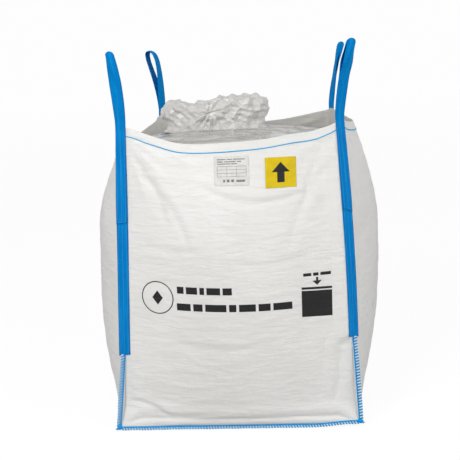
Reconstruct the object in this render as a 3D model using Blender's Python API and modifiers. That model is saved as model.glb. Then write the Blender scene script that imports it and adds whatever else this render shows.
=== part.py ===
"""Bulk bag (FIBC): a filled woven polypropylene bag with corner lift loops and a gathered film liner.

Metres, +Z up. The origin is on the floor under the middle of the bag, and the front panel faces -Y.
The fabric, film and webbing are drawn thicker than they are, so that each is a firm solid.
"""

import math

import bmesh
import bpy
from mathutils import Matrix, Vector

# ---- driving dimensions ----
BASE_HALF = (0.441, 0.458)  # half the base's width and half its depth, to the seams
FOOT_FLARE = 0.018  # the base seams stand out from the corner lines' straight run by this much
FOOT_TOP = 0.10  # up to this share of the rim height
RIM_HEIGHT = 1.12  # top of the hem at the corners
RIM_CORNERS = {
    "front_left": (-0.380, -0.415),
    "front_right": (0.387, -0.415),
    "rear_right": (0.402, 0.425),
    "rear_left": (-0.337, 0.425),
}
# how far a corner line bends towards +X half way up
CORNER_BENDS = {"front_left": 0.0, "front_right": 0.013, "rear_right": 0.008, "rear_left": 0.0}
BELLY_AT = 0.66  # where the sides bow out most, as a share of the rim height
BASE_LIFT = 0.014  # how far the filled base curls up at its edges
BASE_FLAT = 0.86  # the share of the base that lies flat
# each side: first and last corner, bow at the belly, bow at the rim, and a power that is lower for
# a side that is fuller near the base
SIDES = {
    "front": ("front_left", "front_right", 0.140, 0.075, 0.55),
    "right": ("front_right", "rear_right", 0.142, 0.072, 0.38),
    "back": ("rear_right", "rear_left", 0.142, 0.070, 0.55),
    "left": ("rear_left", "front_left", 0.176, 0.062, 0.27),
}
# how far the rim droops at shares across each side
RIM_DROOPS = {
    "front": (
        (0.0, 0.0), (0.05, 0.007), (0.10, 0.022), (0.15, 0.035), (0.25, 0.058), (0.32, 0.064), (0.40, 0.065),
        (0.52, 0.062), (0.66, 0.0555), (0.78, 0.043), (0.88, 0.036), (0.94, 0.021), (1.0, 0.0),
    ),
    "right": ((0.0, 0.0), (0.15, 0.017), (0.35, 0.028), (0.65, 0.028), (0.85, 0.017), (1.0, 0.0)),
    "back": ((0.0, 0.0), (0.12, 0.023), (0.3, 0.046), (0.5, 0.055), (0.7, 0.046), (0.88, 0.023), (1.0, 0.0)),
    "left": ((0.0, 0.0), (0.12, 0.031), (0.3, 0.058), (0.5, 0.070), (0.7, 0.058), (0.88, 0.031), (1.0, 0.0)),
}

FABRIC = 0.0025
SEAM_GAP = 0.0035  # from a corner line to the edge of a panel

FIN_START = 0.0014
FIN_WIDTH = 0.017  # how far a seam's sewn edge stands out
FIN_THICK = 0.0030
FIN_TURN = math.radians(60)  # the corner fins point this far round from the front or back
FIN_FOOT = 0.0055  # from the base's edge up to the foot of a corner fin
FOLDED_FIN = 0.0029  # how far the fin reaches where the webbing holds it flat
FOLD_BELOW_LEG = (0.020, 0.004)  # the fin turns flat between these distances below the inner leg
BOTTOM_FIN_HEEL = 0.004  # the bottom fins leave the base here, outside its edge
BOTTOM_FIN_TOE = (0.0125, 0.0021)  # and end here, outside its edge and above the floor
BOTTOM_FIN_END = 0.004  # from a corner line to the end of a bottom fin
TAIL_START = (0.0095, 0.0094)  # a knotted thread tail starts this far outside its corner, at this height
TAIL_SHAPE = ((0, 0), (0.006, 0.0), (0.012, 0.0005))  # reach and drop along it
TAIL_RADIUS = 0.0082

WEBBING_WIDE = 0.050
WEBBING_THICK = 0.0020
INNER_LEG_OFF = 0.0056  # from a corner line to the middle of the webbing
OUTER_LEG_OFF = 0.0082
LEG_TOP = 1.122
HINGE_HEIGHT = 1.134
HINGE_OFF = 0.0105
LOOP_START = 0.0045  # from the hinge line up to the free webbing
# each corner: how far the webbing is turned to the side (degrees), where the outer and inner legs
# end, the height of the loop above its hinge, its lean and its twist (degrees)
STRAPS = {
    "front_left": (26, 0.775, 0.284, 0.2505, 6, -2),
    "front_right": (44, 0.799, 0.335, 0.263, 9, 0),
    "rear_right": (66, 0.790, 0.310, 0.271, 6, 18),
    "rear_left": (58, 0.785, 0.300, 0.265, 6, 16),
}
# each loop: half the width of its eye, and how far its top hangs over sideways
LOOP_EYES = {
    "front_left": (0.013, 0.020),
    "front_right": (0.015, 0.026),
    "rear_right": (0.014, 0.030),
    "rear_left": (0.018, 0.028),
}
OVERHANG_POWER = 1.8
LEG_SECTIONS = 9
STITCH_RADIUS = 0.0006
STITCH_INSET = 0.007  # from the webbing's edge to the row of stitches
STITCH_CLEAR = 0.0004
STITCH_STEP = (0.002, 0.006)  # the thread steps down between these distances below the outer leg

HEM_DEPTH = 0.030  # from the rim down to the hem's stitches
HEM_THREAD_RADIUS = 0.0006
HEM_THREAD_OFF = 0.0012

FILM = 0.0016
LINER_INSET = 0.008
LINER_FLOOR_INSET = 0.024
LINER_WALL_TOP = 1.020
LINER_TOP_EDGE = 1.028
LINER_TOP_PEAK = 1.078
LINER_TOP_SHARES = (0.0, 0.12, 0.3, 0.5, 0.7, 0.87, 1.0)  # from the edge to the throat
LINER_FLOOR_LIFT = 0.006
LINER_FLOOR_SHARES = (0.03, 0.5, 0.9, 1.0)
LINER_HEIGHTS = (0.055, 0.11, 0.19, 0.28, 0.40, 0.52, 0.64, 0.76, 0.86, 0.94, LINER_WALL_TOP)
THROAT_RADIUS = 0.034
NECK_CENTRE = (-0.085, 0.040)
NECK_BASE = 1.082
NECK_HALF = (0.215, 0.128)  # half the width and half the depth of the scrunched neck
# the neck's section: reach from the throat (0) to its outer edge (1), and height above its base
NECK_SECTION = (
    (0.0, 0.004),
    (0.10, 0.008),
    (0.34, 0.020),
    (0.66, 0.040),
    (0.90, 0.060),
    (1.0, 0.084),
    (0.93, 0.106),
    (0.70, 0.120),
    (0.40, 0.111),
    (0.14, 0.090),
    (0.0, 0.066),
)
NECK_AROUND = 36

DATA_LABEL = ((0.430, 0.583), (0.913, 1.012))  # shares across the front panel, and heights
GRADE_LABEL = ((0.654, 0.790), (0.901, 1.002))
LABEL_OFF = 0.0020
LABEL_THICK = 0.0006

# ---- scene ----
for old in list(bpy.data.objects):
    bpy.data.objects.remove(old, do_unlink=True)
BAG = bpy.data.collections.new("bulk_bag")
bpy.context.scene.collection.children.link(BAG)


def material(name, colour, roughness, alpha=1.0):
    """A Principled material."""
    made = bpy.data.materials.new(name)
    made.use_nodes = True
    shader = made.node_tree.nodes["Principled BSDF"]
    shader.inputs["Base Color"].default_value = (*colour, 1.0)
    shader.inputs["Roughness"].default_value = roughness
    shader.inputs["Metallic"].default_value = 0.0
    shader.inputs["Alpha"].default_value = alpha
    return made


MATERIALS = {
    "fabric": material("woven_polypropylene", (0.74, 0.73, 0.70), 0.62),
    "webbing": material("blue_webbing", (0.0, 0.20, 0.62), 0.60),
    "thread": material("blue_thread", (0.03, 0.30, 0.68), 0.65),
    "film": material("liner_film", (0.80, 0.80, 0.78), 0.25, 0.8),
    "paper": material("data_label", (0.72, 0.71, 0.67), 0.55),
    "yellow": material("grade_label", (0.70, 0.52, 0.01), 0.50),
}


def add(name, mesh, slot, empty=None):
    """A named object in the bag's collection, on its empty where it moves."""
    obj = bpy.data.objects.new(name, mesh)
    mesh.materials.append(MATERIALS[slot])
    BAG.objects.link(obj)
    if empty:
        obj.parent = empty
        obj.matrix_parent_inverse = empty.matrix_world.inverted()
    return obj


def mesh_from(name, points, faces, smooth=True):
    """A mesh with its faces made to point one way."""
    mesh = bpy.data.meshes.new(name)
    mesh.from_pydata([tuple(p) for p in points], [], faces)
    shell = bmesh.new()
    shell.from_mesh(mesh)
    bmesh.ops.recalc_face_normals(shell, faces=shell.faces)
    shell.to_mesh(mesh)
    shell.free()
    if smooth:
        mesh.shade_smooth()
    return mesh


def grid_faces(rows, columns, closed=False):
    """Quads that join rows of points; closed joins each row's last point to its first."""
    faces = []
    for r in range(rows - 1):
        for c in range(columns if closed else columns - 1):
            beside = (c + 1) % columns
            low, high = r * columns, (r + 1) * columns
            faces.append((low + c, low + beside, high + beside, high + c))
    return faces


def thicken(obj, thickness):
    """Makes an open surface a shell, half its thickness to each side."""
    solidify = obj.modifiers.new("thickness", "SOLIDIFY")
    solidify.thickness = thickness
    solidify.offset = 0.0
    solidify.use_even_offset = True
    return obj


def rod(name, points, radius, slot, closed=False):
    """A round cord or thread along straight runs."""
    curve = bpy.data.curves.new(name, "CURVE")
    curve.dimensions = "3D"
    curve.bevel_depth = radius
    curve.bevel_resolution = 1
    curve.use_fill_caps = True
    spline = curve.splines.new("POLY")
    spline.points.add(len(points) - 1)
    for point, place in zip(spline.points, points):
        point.co = (*place, 1.0)
    spline.use_cyclic_u = closed
    obj = bpy.data.objects.new(name, curve)
    curve.materials.append(MATERIALS[slot])
    BAG.objects.link(obj)
    return obj


# ---- the filled shape ----
def smoothstep(x):
    x = min(max(x, 0.0), 1.0)
    return x * x * (3 - 2 * x)


def corner(name, t):
    """Where a corner line is, at a share t of the rim height."""
    rim = Vector(RIM_CORNERS[name])
    way = Vector((math.copysign(1, rim.x), math.copysign(1, rim.y)))
    foot = Vector((way.x * (BASE_HALF[0] - FOOT_FLARE), way.y * (BASE_HALF[1] - FOOT_FLARE)))
    place = foot.lerp(rim, t)
    place += way * FOOT_FLARE * (1 - min(max(t, 0.0), FOOT_TOP) / FOOT_TOP) ** 2
    place.x += CORNER_BENDS[name] * math.sin(math.pi * min(max(t, 0.0), 1.0))
    return place


def corner_point(name, z):
    place = corner(name, (z - BASE_LIFT) / (RIM_HEIGHT - BASE_LIFT))
    return Vector((place.x, place.y, z))


def bow(side, t):
    """How far the middle of a side stands out from the line between its corners."""
    belly, rim, fullness = SIDES[side][2:]
    if t < BELLY_AT:
        return belly * math.sin(math.pi / 2 * t / BELLY_AT) ** fullness
    return rim + (belly - rim) * math.cos(math.pi / 2 * (t - BELLY_AT) / (1 - BELLY_AT))


def side_point(side, u, t, out=0.0):
    """A point on a side: u across it as seen from outside, t up it, and out metres outside it."""
    first, last = (corner(name, t) for name in SIDES[side][:2])
    along = last - first
    outward = Vector((along.y, -along.x)).normalized()
    swell = math.sin(math.pi * u)
    place = first + along * u + outward * (bow(side, t) * swell + out)
    return Vector((place.x, place.y, BASE_LIFT + t * (rim_at(side, u) - BASE_LIFT)))


def rim_at(side, u):
    """The height of the rim, which droops between the corners."""
    droops = RIM_DROOPS[side]
    i = 0
    while i < len(droops) - 2 and u > droops[i + 1][0]:
        i += 1
    (u0, d0), (u1, d1) = droops[i], droops[i + 1]
    before, after = droops[max(i - 1, 0)], droops[min(i + 2, len(droops) - 1)]
    share = min(max((u - u0) / (u1 - u0), 0.0), 1.0)
    start = (d1 - before[1]) / (u1 - before[0]) * (u1 - u0)
    end = (after[1] - d0) / (after[0] - u0) * (u1 - u0)
    rest = 1 - share
    curve = d0 * (1 + 2 * share) * rest**2 + start * share * rest**2
    return RIM_HEIGHT - curve - d1 * share**2 * (3 - 2 * share) - end * share**2 * (share - 1)


def share_up(side, u, z):
    """The share t at which a side reaches a height."""
    return (z - BASE_LIFT) / (rim_at(side, u) - BASE_LIFT)


def inset_span(side, t, gap):
    """The shares across a side that lie gap metres in from its two corners."""
    first, last = (corner(name, t) for name in SIDES[side][:2])
    share = gap / (last - first).length
    return share, 1 - share


def side_rows(side, heights, columns, gap):
    rows = []
    for t in heights:
        low, high = inset_span(side, t, gap)
        rows.append([side_point(side, low + (high - low) * c / columns, t) for c in range(columns + 1)])
    return rows


HEM_AT = 1 - HEM_DEPTH / RIM_HEIGHT
HEIGHTS = [0.0, 0.02, 0.05, 0.10, 0.18, 0.28, 0.38, 0.48, 0.58, 0.68, 0.78, 0.86, 0.92, HEM_AT, 1.0]
ACROSS = 10


def panel(name, side):
    """The front or back panel, from the bottom seam to the hem."""
    rows = side_rows(side, HEIGHTS, ACROSS, SEAM_GAP)
    for point in rows[0]:
        point.z += SEAM_GAP
    points = [point for row in rows for point in row]
    return thicken(add(name, mesh_from(name, points, grid_faces(len(rows), ACROSS + 1)), "fabric"), FABRIC)


def base_height(x, y):
    """The underside of the base: flat, then curled up towards its seams."""
    reach = max(abs(x) / BASE_HALF[0], abs(y) / BASE_HALF[1])
    return BASE_LIFT * smoothstep((reach - BASE_FLAT) / (1 - BASE_FLAT)) + FABRIC / 2


def u_panel():
    """One length of fabric: down the left side, under the fill and up the right side."""
    left = [row[::-1] for row in side_rows("left", HEIGHTS[1:], ACROSS, SEAM_GAP)]
    right = side_rows("right", HEIGHTS[1:], ACROSS, SEAM_GAP)
    depth = BASE_HALF[1] - SEAM_GAP
    shares = [-1.0, -0.95, -0.9, -0.84, -0.4, 0.0, 0.4, 0.84, 0.9, 0.95, 1.0]
    base = []
    for share in shares:
        x = share * BASE_HALF[0]
        line = [y * depth for y in (-1.0, -0.95, -0.9, -0.84, -0.4, 0.0, 0.4, 0.84, 0.9, 0.95, 1.0)]
        base.append([Vector((x, y, base_height(x, y))) for y in line])
    rows = left[::-1] + base + right
    points = [point for row in rows for point in row]
    mesh = mesh_from("u_panel", points, grid_faces(len(rows), ACROSS + 1))
    return thicken(add("u_panel", mesh, "fabric"), FABRIC)


# ---- seams ----
def facing(name, degrees_to_side):
    """The horizontal direction that far round from the front or back towards the corner's own side."""
    place = RIM_CORNERS[name]
    turn = math.radians(degrees_to_side)
    return Vector((math.copysign(math.sin(turn), place[0]), math.copysign(math.cos(turn), place[1]), 0))


def spread(low, high, count):
    """Heights from low to high."""
    return [low + (high - low) * step / (count - 1) for step in range(count)]


def bar(name, sections, slot):
    """A solid through sections of four points each."""
    points = [point for section in sections for point in section]
    faces = grid_faces(len(sections), 4, closed=True)
    end = len(points)
    faces += [(3, 2, 1, 0), (end - 4, end - 3, end - 2, end - 1)]
    return add(name, mesh_from(name, points, faces, smooth=False), slot)


def corner_seam(name):
    """The overedged seam of a corner: a fin below the webbing, folded flat under it."""
    fin_way = facing(name, math.degrees(FIN_TURN))
    flat_way = facing(name, 45)
    leg_end = STRAPS[name][2]
    sections = []
    standing = spread(BASE_LIFT + FIN_FOOT, leg_end - FOLD_BELOW_LEG[0], 4)
    folded = spread(leg_end - FOLD_BELOW_LEG[1], LEG_TOP - HEM_DEPTH - FOLD_BELOW_LEG[0], LEG_SECTIONS)
    places = [(z, fin_way, FIN_WIDTH) for z in standing] + [(z, flat_way, FOLDED_FIN) for z in folded]
    for z, way, reach in places:
        foot = corner_point(name, z)
        across = way.cross(Vector((0, 0, 1))) * FIN_THICK / 2
        start, end = foot + way * FIN_START, foot + way * reach
        sections.append((start - across, end - across, end + across, start + across))
    return bar(name + "_corner_seam", sections, "thread")


def bottom_seam(name, toward):
    """The overedged seam under the front or back panel: a fin that turns down to the floor."""
    reach = BASE_HALF[0] - BOTTOM_FIN_END
    heel = Vector((0, toward * (BASE_HALF[1] + BOTTOM_FIN_HEEL), BASE_LIFT))
    toe = Vector((0, toward * (BASE_HALF[1] + BOTTOM_FIN_TOE[0]), BOTTOM_FIN_TOE[1]))
    along = (toe - heel).normalized()
    across = Vector((0, -along.z, along.y)) * FIN_THICK / 2
    sections = []
    for x in (-reach, 0.0, reach):
        shift = Vector((x, 0, 0))
        sections.append([shift + p for p in (heel - across, toe - across, toe + across, heel + across)])
    return bar(name, sections, "thread")


def thread_tail(name):
    """The chained and knotted end of the seam threads at a base corner."""
    way = facing(name, 45)
    start = corner_point(name, TAIL_START[1]) + way * TAIL_START[0]
    points = [start + way * reach - Vector((0, 0, drop)) for reach, drop in TAIL_SHAPE]
    return rod(name + "_thread_tail", points, TAIL_RADIUS, "thread")


# ---- lift loops ----
def strap_frame(name):
    """The webbing's directions at a corner: outward, across its width, and up the corner line."""
    outward = facing(name, STRAPS[name][0])
    up = (corner_point(name, LEG_TOP) - corner_point(name, 0.2)).normalized()
    across = up.cross(outward).normalized()
    return across.cross(up).normalized(), across, up


def sewn_leg(name, which, low, off):
    """A straight length of webbing sewn down a corner."""
    outward, across, _ = strap_frame(name)
    half_width, half_thick = across * WEBBING_WIDE / 2, outward * WEBBING_THICK / 2
    sections = []
    for z in spread(low, LEG_TOP, LEG_SECTIONS):
        middle = corner_point(name, z) + outward * off
        corners = ((-1, -1), (-1, 1), (1, 1), (1, -1))
        sections.append([middle + half_width * a + half_thick * b for a, b in corners])
    return bar(f"{name}_{which}_leg", sections, "webbing")


def loop_path(height, eye):
    """The free webbing in side view, as (outward, up) from the middle of the two legs at the hinge."""
    apart = (OUTER_LEG_OFF - INNER_LEG_OFF) / 2
    crown = height - eye
    path = []
    for step in range(9):
        share = step / 8
        path.append((apart + (eye - apart) * smoothstep(share), LOOP_START + (crown - LOOP_START) * share))
    for step in range(1, 8):
        angle = math.pi * step / 8
        path.append((eye * math.cos(angle), crown + eye * math.sin(angle)))
    return path + [(-out, up) for out, up in path[8::-1]]


def lift_loop(name):
    """The free part of a lift loop, on an empty at its hinge line."""
    height, lean, twist = STRAPS[name][3:]
    eye, overhang = LOOP_EYES[name]
    outward, across, up = strap_frame(name)
    hinge = corner_point(name, HINGE_HEIGHT) + outward * HINGE_OFF
    empty = bpy.data.objects.new(name + "_loop_hinge", None)
    empty.location = hinge
    BAG.objects.link(empty)
    bpy.context.view_layer.update()
    middle = (INNER_LEG_OFF + OUTER_LEG_OFF) / 2 - HINGE_OFF
    tilt = Matrix.Rotation(math.radians(lean), 3, across)
    points = []
    to_side = -math.copysign(1.0, RIM_CORNERS[name][0] * RIM_CORNERS[name][1])
    for out, rise in loop_path(height, eye):
        beside = facing(name, 90) * overhang * (rise / height) ** OVERHANG_POWER
        turn = Matrix.Rotation(math.radians(twist) * to_side * smoothstep(1.2 * rise / height), 3, up)
        axis = outward * middle + up * rise
        for side in (-0.5, 0.0, 0.5):
            webbing = turn @ (outward * out + across * WEBBING_WIDE * side)
            points.append(hinge + beside + tilt @ (axis + webbing))
    loop = add(name + "_loop", mesh_from(name, points, grid_faces(len(points) // 3, 3)), "webbing", empty)
    return thicken(loop, WEBBING_THICK)


def strap_stitching(name):
    """One thread down one edge of a strap's legs, across the end of the inner leg and up the other edge."""
    outward, across, _ = strap_frame(name)
    outer_end, inner_end = STRAPS[name][1:3]
    side = WEBBING_WIDE / 2 - STITCH_INSET
    clear = WEBBING_THICK / 2 + STITCH_RADIUS + STITCH_CLEAR
    outer = spread(LEG_TOP - STITCH_STEP[1], outer_end - STITCH_STEP[0], LEG_SECTIONS)
    inner = spread(outer_end - STITCH_STEP[1], inner_end + STITCH_INSET, LEG_SECTIONS)
    edge = [(z, OUTER_LEG_OFF) for z in outer] + [(z, INNER_LEG_OFF) for z in inner]
    down = [corner_point(name, z) + outward * (off + clear) - across * side for z, off in edge]
    up = [corner_point(name, z) + outward * (off + clear) + across * side for z, off in edge[::-1]]
    return rod(name + "_strap_stitching", down + up, STITCH_RADIUS, "thread")


def hem_stitching():
    """The chain stitch that holds the hem, all round outside the rim and under the webbing."""
    ring = []
    for side in SIDES:
        low, high = inset_span(side, HEM_AT, SEAM_GAP)
        for step in range(1, ACROSS):
            u = low + (high - low) * step / ACROSS
            ring.append(side_point(side, u, HEM_AT, FABRIC / 2 + HEM_THREAD_RADIUS + HEM_THREAD_OFF))
        last = SIDES[side][1]
        place = side_point(side, 1.0, HEM_AT)
        ring.append(place + facing(last, 45) * (FABRIC / 2 + HEM_THREAD_RADIUS + HEM_THREAD_OFF))
    return rod("hem_stitching", ring, HEM_THREAD_RADIUS, "thread", closed=True)


# ---- liner ----
def outline(z, inset, columns):
    """The liner's outline at a height, as points round the four sides."""
    ring = []
    for side in SIDES:
        for step in range(columns):
            u = step / columns
            ring.append(side_point(side, u, share_up(side, u, z)))
    middle = sum(ring, Vector()) / len(ring)
    for point in ring:
        away = point - middle
        reach = max(abs(away.x), abs(away.y))
        point.xy = (middle + away * (1 - inset / reach)).xy
    return ring


def liner_body():
    """The film tube inside the fabric, closed under the fill and open under the liner's top."""
    columns = 8
    rings = []
    for share in LINER_FLOOR_SHARES:
        ring = outline(BASE_LIFT, LINER_FLOOR_INSET, columns)
        for point in ring:
            point.xy *= share
            point.z += LINER_FLOOR_LIFT
        rings.append(ring)
    for z in LINER_HEIGHTS:
        rings.append(outline(z, LINER_INSET, columns))
    size = len(rings[0])
    faces = grid_faces(len(rings), size, closed=True) + [tuple(range(size))]
    points = [point for ring in rings for point in ring]
    return thicken(add("liner_body", mesh_from("liner_body", points, faces), "film"), FILM)


def liner_top():
    """The film that closes over the fill and rises to the throat."""
    edge = outline(LINER_TOP_EDGE, LINER_INSET, 8)
    centre = Vector((*NECK_CENTRE, 0))
    rings = []
    for share in LINER_TOP_SHARES:
        ring = []
        for point in edge:
            away = point - centre
            throat = centre + Vector((away.x, away.y, 0)).normalized() * THROAT_RADIUS
            place = point.lerp(throat, share)
            place.z = LINER_TOP_EDGE + (LINER_TOP_PEAK - LINER_TOP_EDGE) * math.sin(math.pi / 2 * share)
            ring.append(place)
        rings.append(ring)
    points = [point for ring in rings for point in ring]
    mesh = mesh_from("liner_top", points, grid_faces(len(rings), len(edge), closed=True))
    return thicken(add("liner_top", mesh, "film"), FILM)


def liner_neck():
    """The liner's filling neck, scrunched down over the throat, as one lumpy roll of film."""
    hinge = Vector((*NECK_CENTRE, NECK_BASE))
    empty = bpy.data.objects.new("liner_neck_hinge", None)
    empty.location = hinge
    BAG.objects.link(empty)
    bpy.context.view_layer.update()
    rings = []
    for reach, rise in NECK_SECTION:
        ring = []
        for step in range(NECK_AROUND):
            angle = 2 * math.pi * step / NECK_AROUND
            lobes = 1 + 0.07 * math.sin(3 * angle + 0.6) + 0.04 * math.sin(7 * angle)
            wide = Vector((NECK_HALF[0] * math.cos(angle), NECK_HALF[1] * math.sin(angle), 0)) * lobes
            throat = Vector((math.cos(angle), math.sin(angle), 0)) * THROAT_RADIUS
            height = rise * (1 + 0.12 * math.cos(angle) + 0.04 * math.sin(5 * angle))
            ring.append(hinge + throat.lerp(wide, reach) + Vector((0, 0, height)))
        rings.append(ring)
    points = [point for ring in rings for point in ring]
    size = NECK_AROUND
    faces = grid_faces(len(rings), size, closed=True)
    last = (len(rings) - 1) * size
    faces += [(last + c, last + (c + 1) % size, (c + 1) % size, c) for c in range(size)]
    return add("liner_neck", mesh_from("liner_neck", points, faces), "film", empty)


# ---- labels ----
def label(name, span, slot):
    """A label that follows the front panel."""
    (left, right), (low, high) = span
    columns, rows = 6, 5
    points = []
    for r in range(rows + 1):
        for c in range(columns + 1):
            u = left + (right - left) * c / columns
            t = share_up("front", u, low + (high - low) * r / rows)
            points.append(side_point("front", u, t, FABRIC / 2 + LABEL_OFF))
    mesh = mesh_from(name, points, grid_faces(rows + 1, columns + 1))
    return thicken(add(name, mesh, slot), LABEL_THICK)


u_panel()
panel("front_panel", "front")
panel("back_panel", "back")
for corner_name in RIM_CORNERS:
    corner_seam(corner_name)
    thread_tail(corner_name)
    sewn_leg(corner_name, "inner", STRAPS[corner_name][2], INNER_LEG_OFF)
    sewn_leg(corner_name, "outer", STRAPS[corner_name][1], OUTER_LEG_OFF)
    lift_loop(corner_name)
    strap_stitching(corner_name)
bottom_seam("front_bottom_seam", -1)
bottom_seam("rear_bottom_seam", 1)
hem_stitching()
liner_body()
liner_top()
liner_neck()
label("data_label", DATA_LABEL, "paper")
label("grade_label", GRADE_LABEL, "yellow")
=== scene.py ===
"""The bulk bag's looks: woven fabric, webbing, sewn seams, crumpled film liner and plain markings.

Metres, +Z up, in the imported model's frame: the origin is on the floor under the bag, and the front
faces -Y. The shape functions repeat the ones that the CAD model is built from.
"""

import math

import bmesh
import bpy
from mathutils import Matrix, Vector, noise
from mathutils.bvhtree import BVHTree


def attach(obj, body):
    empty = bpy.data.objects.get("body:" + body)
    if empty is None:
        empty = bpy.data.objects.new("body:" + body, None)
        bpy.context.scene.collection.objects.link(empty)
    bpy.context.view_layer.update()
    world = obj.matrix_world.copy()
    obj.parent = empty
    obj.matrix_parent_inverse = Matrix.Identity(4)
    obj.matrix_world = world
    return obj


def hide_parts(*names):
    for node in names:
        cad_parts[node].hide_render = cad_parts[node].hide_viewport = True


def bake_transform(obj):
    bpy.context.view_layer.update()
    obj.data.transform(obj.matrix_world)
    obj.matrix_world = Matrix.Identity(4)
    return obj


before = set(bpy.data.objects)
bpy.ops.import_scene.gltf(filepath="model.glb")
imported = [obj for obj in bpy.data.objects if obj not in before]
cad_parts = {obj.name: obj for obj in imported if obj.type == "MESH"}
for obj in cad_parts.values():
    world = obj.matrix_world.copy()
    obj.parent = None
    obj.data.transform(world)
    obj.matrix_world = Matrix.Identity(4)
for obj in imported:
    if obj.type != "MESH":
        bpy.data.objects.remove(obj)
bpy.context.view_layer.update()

# ---- driving dimensions, as in the CAD ----
BASE_HALF = (0.441, 0.458)
FOOT_FLARE = 0.018
FOOT_TOP = 0.10
FOOT_LIFT = 0.011  # how far the front right corner of the base is lifted
RIM_HEIGHT = 1.12
BELLY_AT = 0.66
BASE_LIFT = 0.014
BASE_FLAT = 0.86
RIM_CORNERS = {
    "front_left": (-0.380, -0.415),
    "front_right": (0.387, -0.415),
    "rear_right": (0.402, 0.425),
    "rear_left": (-0.337, 0.425),
}
CORNER_BENDS = {"front_left": 0.0, "front_right": 0.013, "rear_right": 0.008, "rear_left": 0.0}
# each side: first and last corner, bow at the belly, bow at the rim, and a power that is lower for
# a side that is fuller near the base
SIDES = {
    "front": ("front_left", "front_right", 0.140, 0.075, 0.55),
    "right": ("front_right", "rear_right", 0.142, 0.072, 0.38),
    "back": ("rear_right", "rear_left", 0.142, 0.070, 0.55),
    "left": ("rear_left", "front_left", 0.176, 0.062, 0.27),
}
# how far the rim droops at shares across each side
RIM_DROOPS = {
    "front": (
        (0.0, 0.0), (0.05, 0.007), (0.10, 0.022), (0.15, 0.035), (0.25, 0.058), (0.32, 0.064), (0.40, 0.065),
        (0.52, 0.062), (0.66, 0.0555), (0.78, 0.043), (0.88, 0.036), (0.94, 0.021), (1.0, 0.0),
    ),
    "right": ((0.0, 0.0), (0.15, 0.017), (0.35, 0.028), (0.65, 0.028), (0.85, 0.017), (1.0, 0.0)),
    "back": ((0.0, 0.0), (0.12, 0.023), (0.3, 0.046), (0.5, 0.055), (0.7, 0.046), (0.88, 0.023), (1.0, 0.0)),
    "left": ((0.0, 0.0), (0.12, 0.031), (0.3, 0.058), (0.5, 0.070), (0.7, 0.058), (0.88, 0.031), (1.0, 0.0)),
}
WEBBING_WIDE = 0.050
WEBBING_THICK = 0.0020
INNER_LEG_OFF = 0.0056
OUTER_LEG_OFF = 0.0082
LEG_TOP = 1.122
HINGE_HEIGHT = 1.134
HINGE_OFF = 0.0105
LOOP_START = 0.0045
# each corner: facing (degrees to the side), ends of the outer and inner legs, loop height, lean, twist
STRAPS = {
    "front_left": (26, 0.775, 0.284, 0.2505, 6, -2),
    "front_right": (44, 0.799, 0.335, 0.263, 9, 0),
    "rear_right": (66, 0.790, 0.310, 0.271, 6, 18),
    "rear_left": (58, 0.785, 0.300, 0.265, 6, 16),
}
# each loop: half the width of its eye, and how far its top hangs over sideways
LOOP_EYES = {
    "front_left": (0.013, 0.020),
    "front_right": (0.015, 0.026),
    "rear_right": (0.014, 0.030),
    "rear_left": (0.021, 0.040),
}
OVERHANG_POWER = 1.8
HEM_DEPTH = 0.030
LINER_INSET = 0.008
LINER_FLOOR_INSET = 0.024
LINER_TOP_EDGE = 1.028
LINER_TOP_PEAK = 1.078
THROAT_RADIUS = 0.034
NECK_CENTRE = (-0.085, 0.040)
NECK_BASE = 1.082
NECK_HALF = (0.215, 0.128)
PINCH_ANGLE = -1.35  # where the neck's two lobes meet, towards the front
FIN_TURN = 60

# ---- the looks' own dimensions ----
FABRIC = 0.0016
CELL = 0.0065  # the side of a mesh cell on the fabric
SEAM_LINE_GAP = 0.0006  # from a corner line to a panel's edge
MARK_CELL = 0.004  # the side of a mesh cell on a label or a printed mark
LABEL_OFF = 0.0013  # from the fabric to the middle of a label
LABEL_THICK = 0.0005
WRAP_PITCH = 0.0104  # from one thread wrap to the next, along a seam's edge
WRAP_WIDE = 0.0054
INK_OFF = 0.0005
INK_THICK = 0.0002
# left, low, right and high, in metres across the front and up it
DATA_LABEL = (-0.048, 0.913, 0.071, 1.012)
GRADE_LABEL = (0.127, 0.899, 0.233, 1.002)


# ---- small mathematics ----
def smoothstep(x):
    x = min(max(x, 0.0), 1.0)
    return x * x * (3 - 2 * x)


def corner(name, t):
    """Where a corner line is, at a share t of the rim height."""
    rim = Vector(RIM_CORNERS[name])
    way = Vector((math.copysign(1, rim.x), math.copysign(1, rim.y)))
    foot = Vector((way.x * (BASE_HALF[0] - FOOT_FLARE), way.y * (BASE_HALF[1] - FOOT_FLARE)))
    place = foot.lerp(rim, t)
    place += way * FOOT_FLARE * (1 - min(max(t, 0.0), FOOT_TOP) / FOOT_TOP) ** 2
    place.x += CORNER_BENDS[name] * math.sin(math.pi * min(max(t, 0.0), 1.0))
    return place


def corner_point(name, z):
    place = corner(name, (z - BASE_LIFT) / (RIM_HEIGHT - BASE_LIFT))
    return Vector((place.x, place.y, z))


def bow(side, t):
    """How far the middle of a side stands out from the line between its corners."""
    belly, rim, fullness = SIDES[side][2:]
    if t < BELLY_AT:
        return belly * math.sin(math.pi / 2 * max(t, 0.0) / BELLY_AT) ** fullness
    return rim + (belly - rim) * math.cos(math.pi / 2 * (t - BELLY_AT) / (1 - BELLY_AT))


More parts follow.
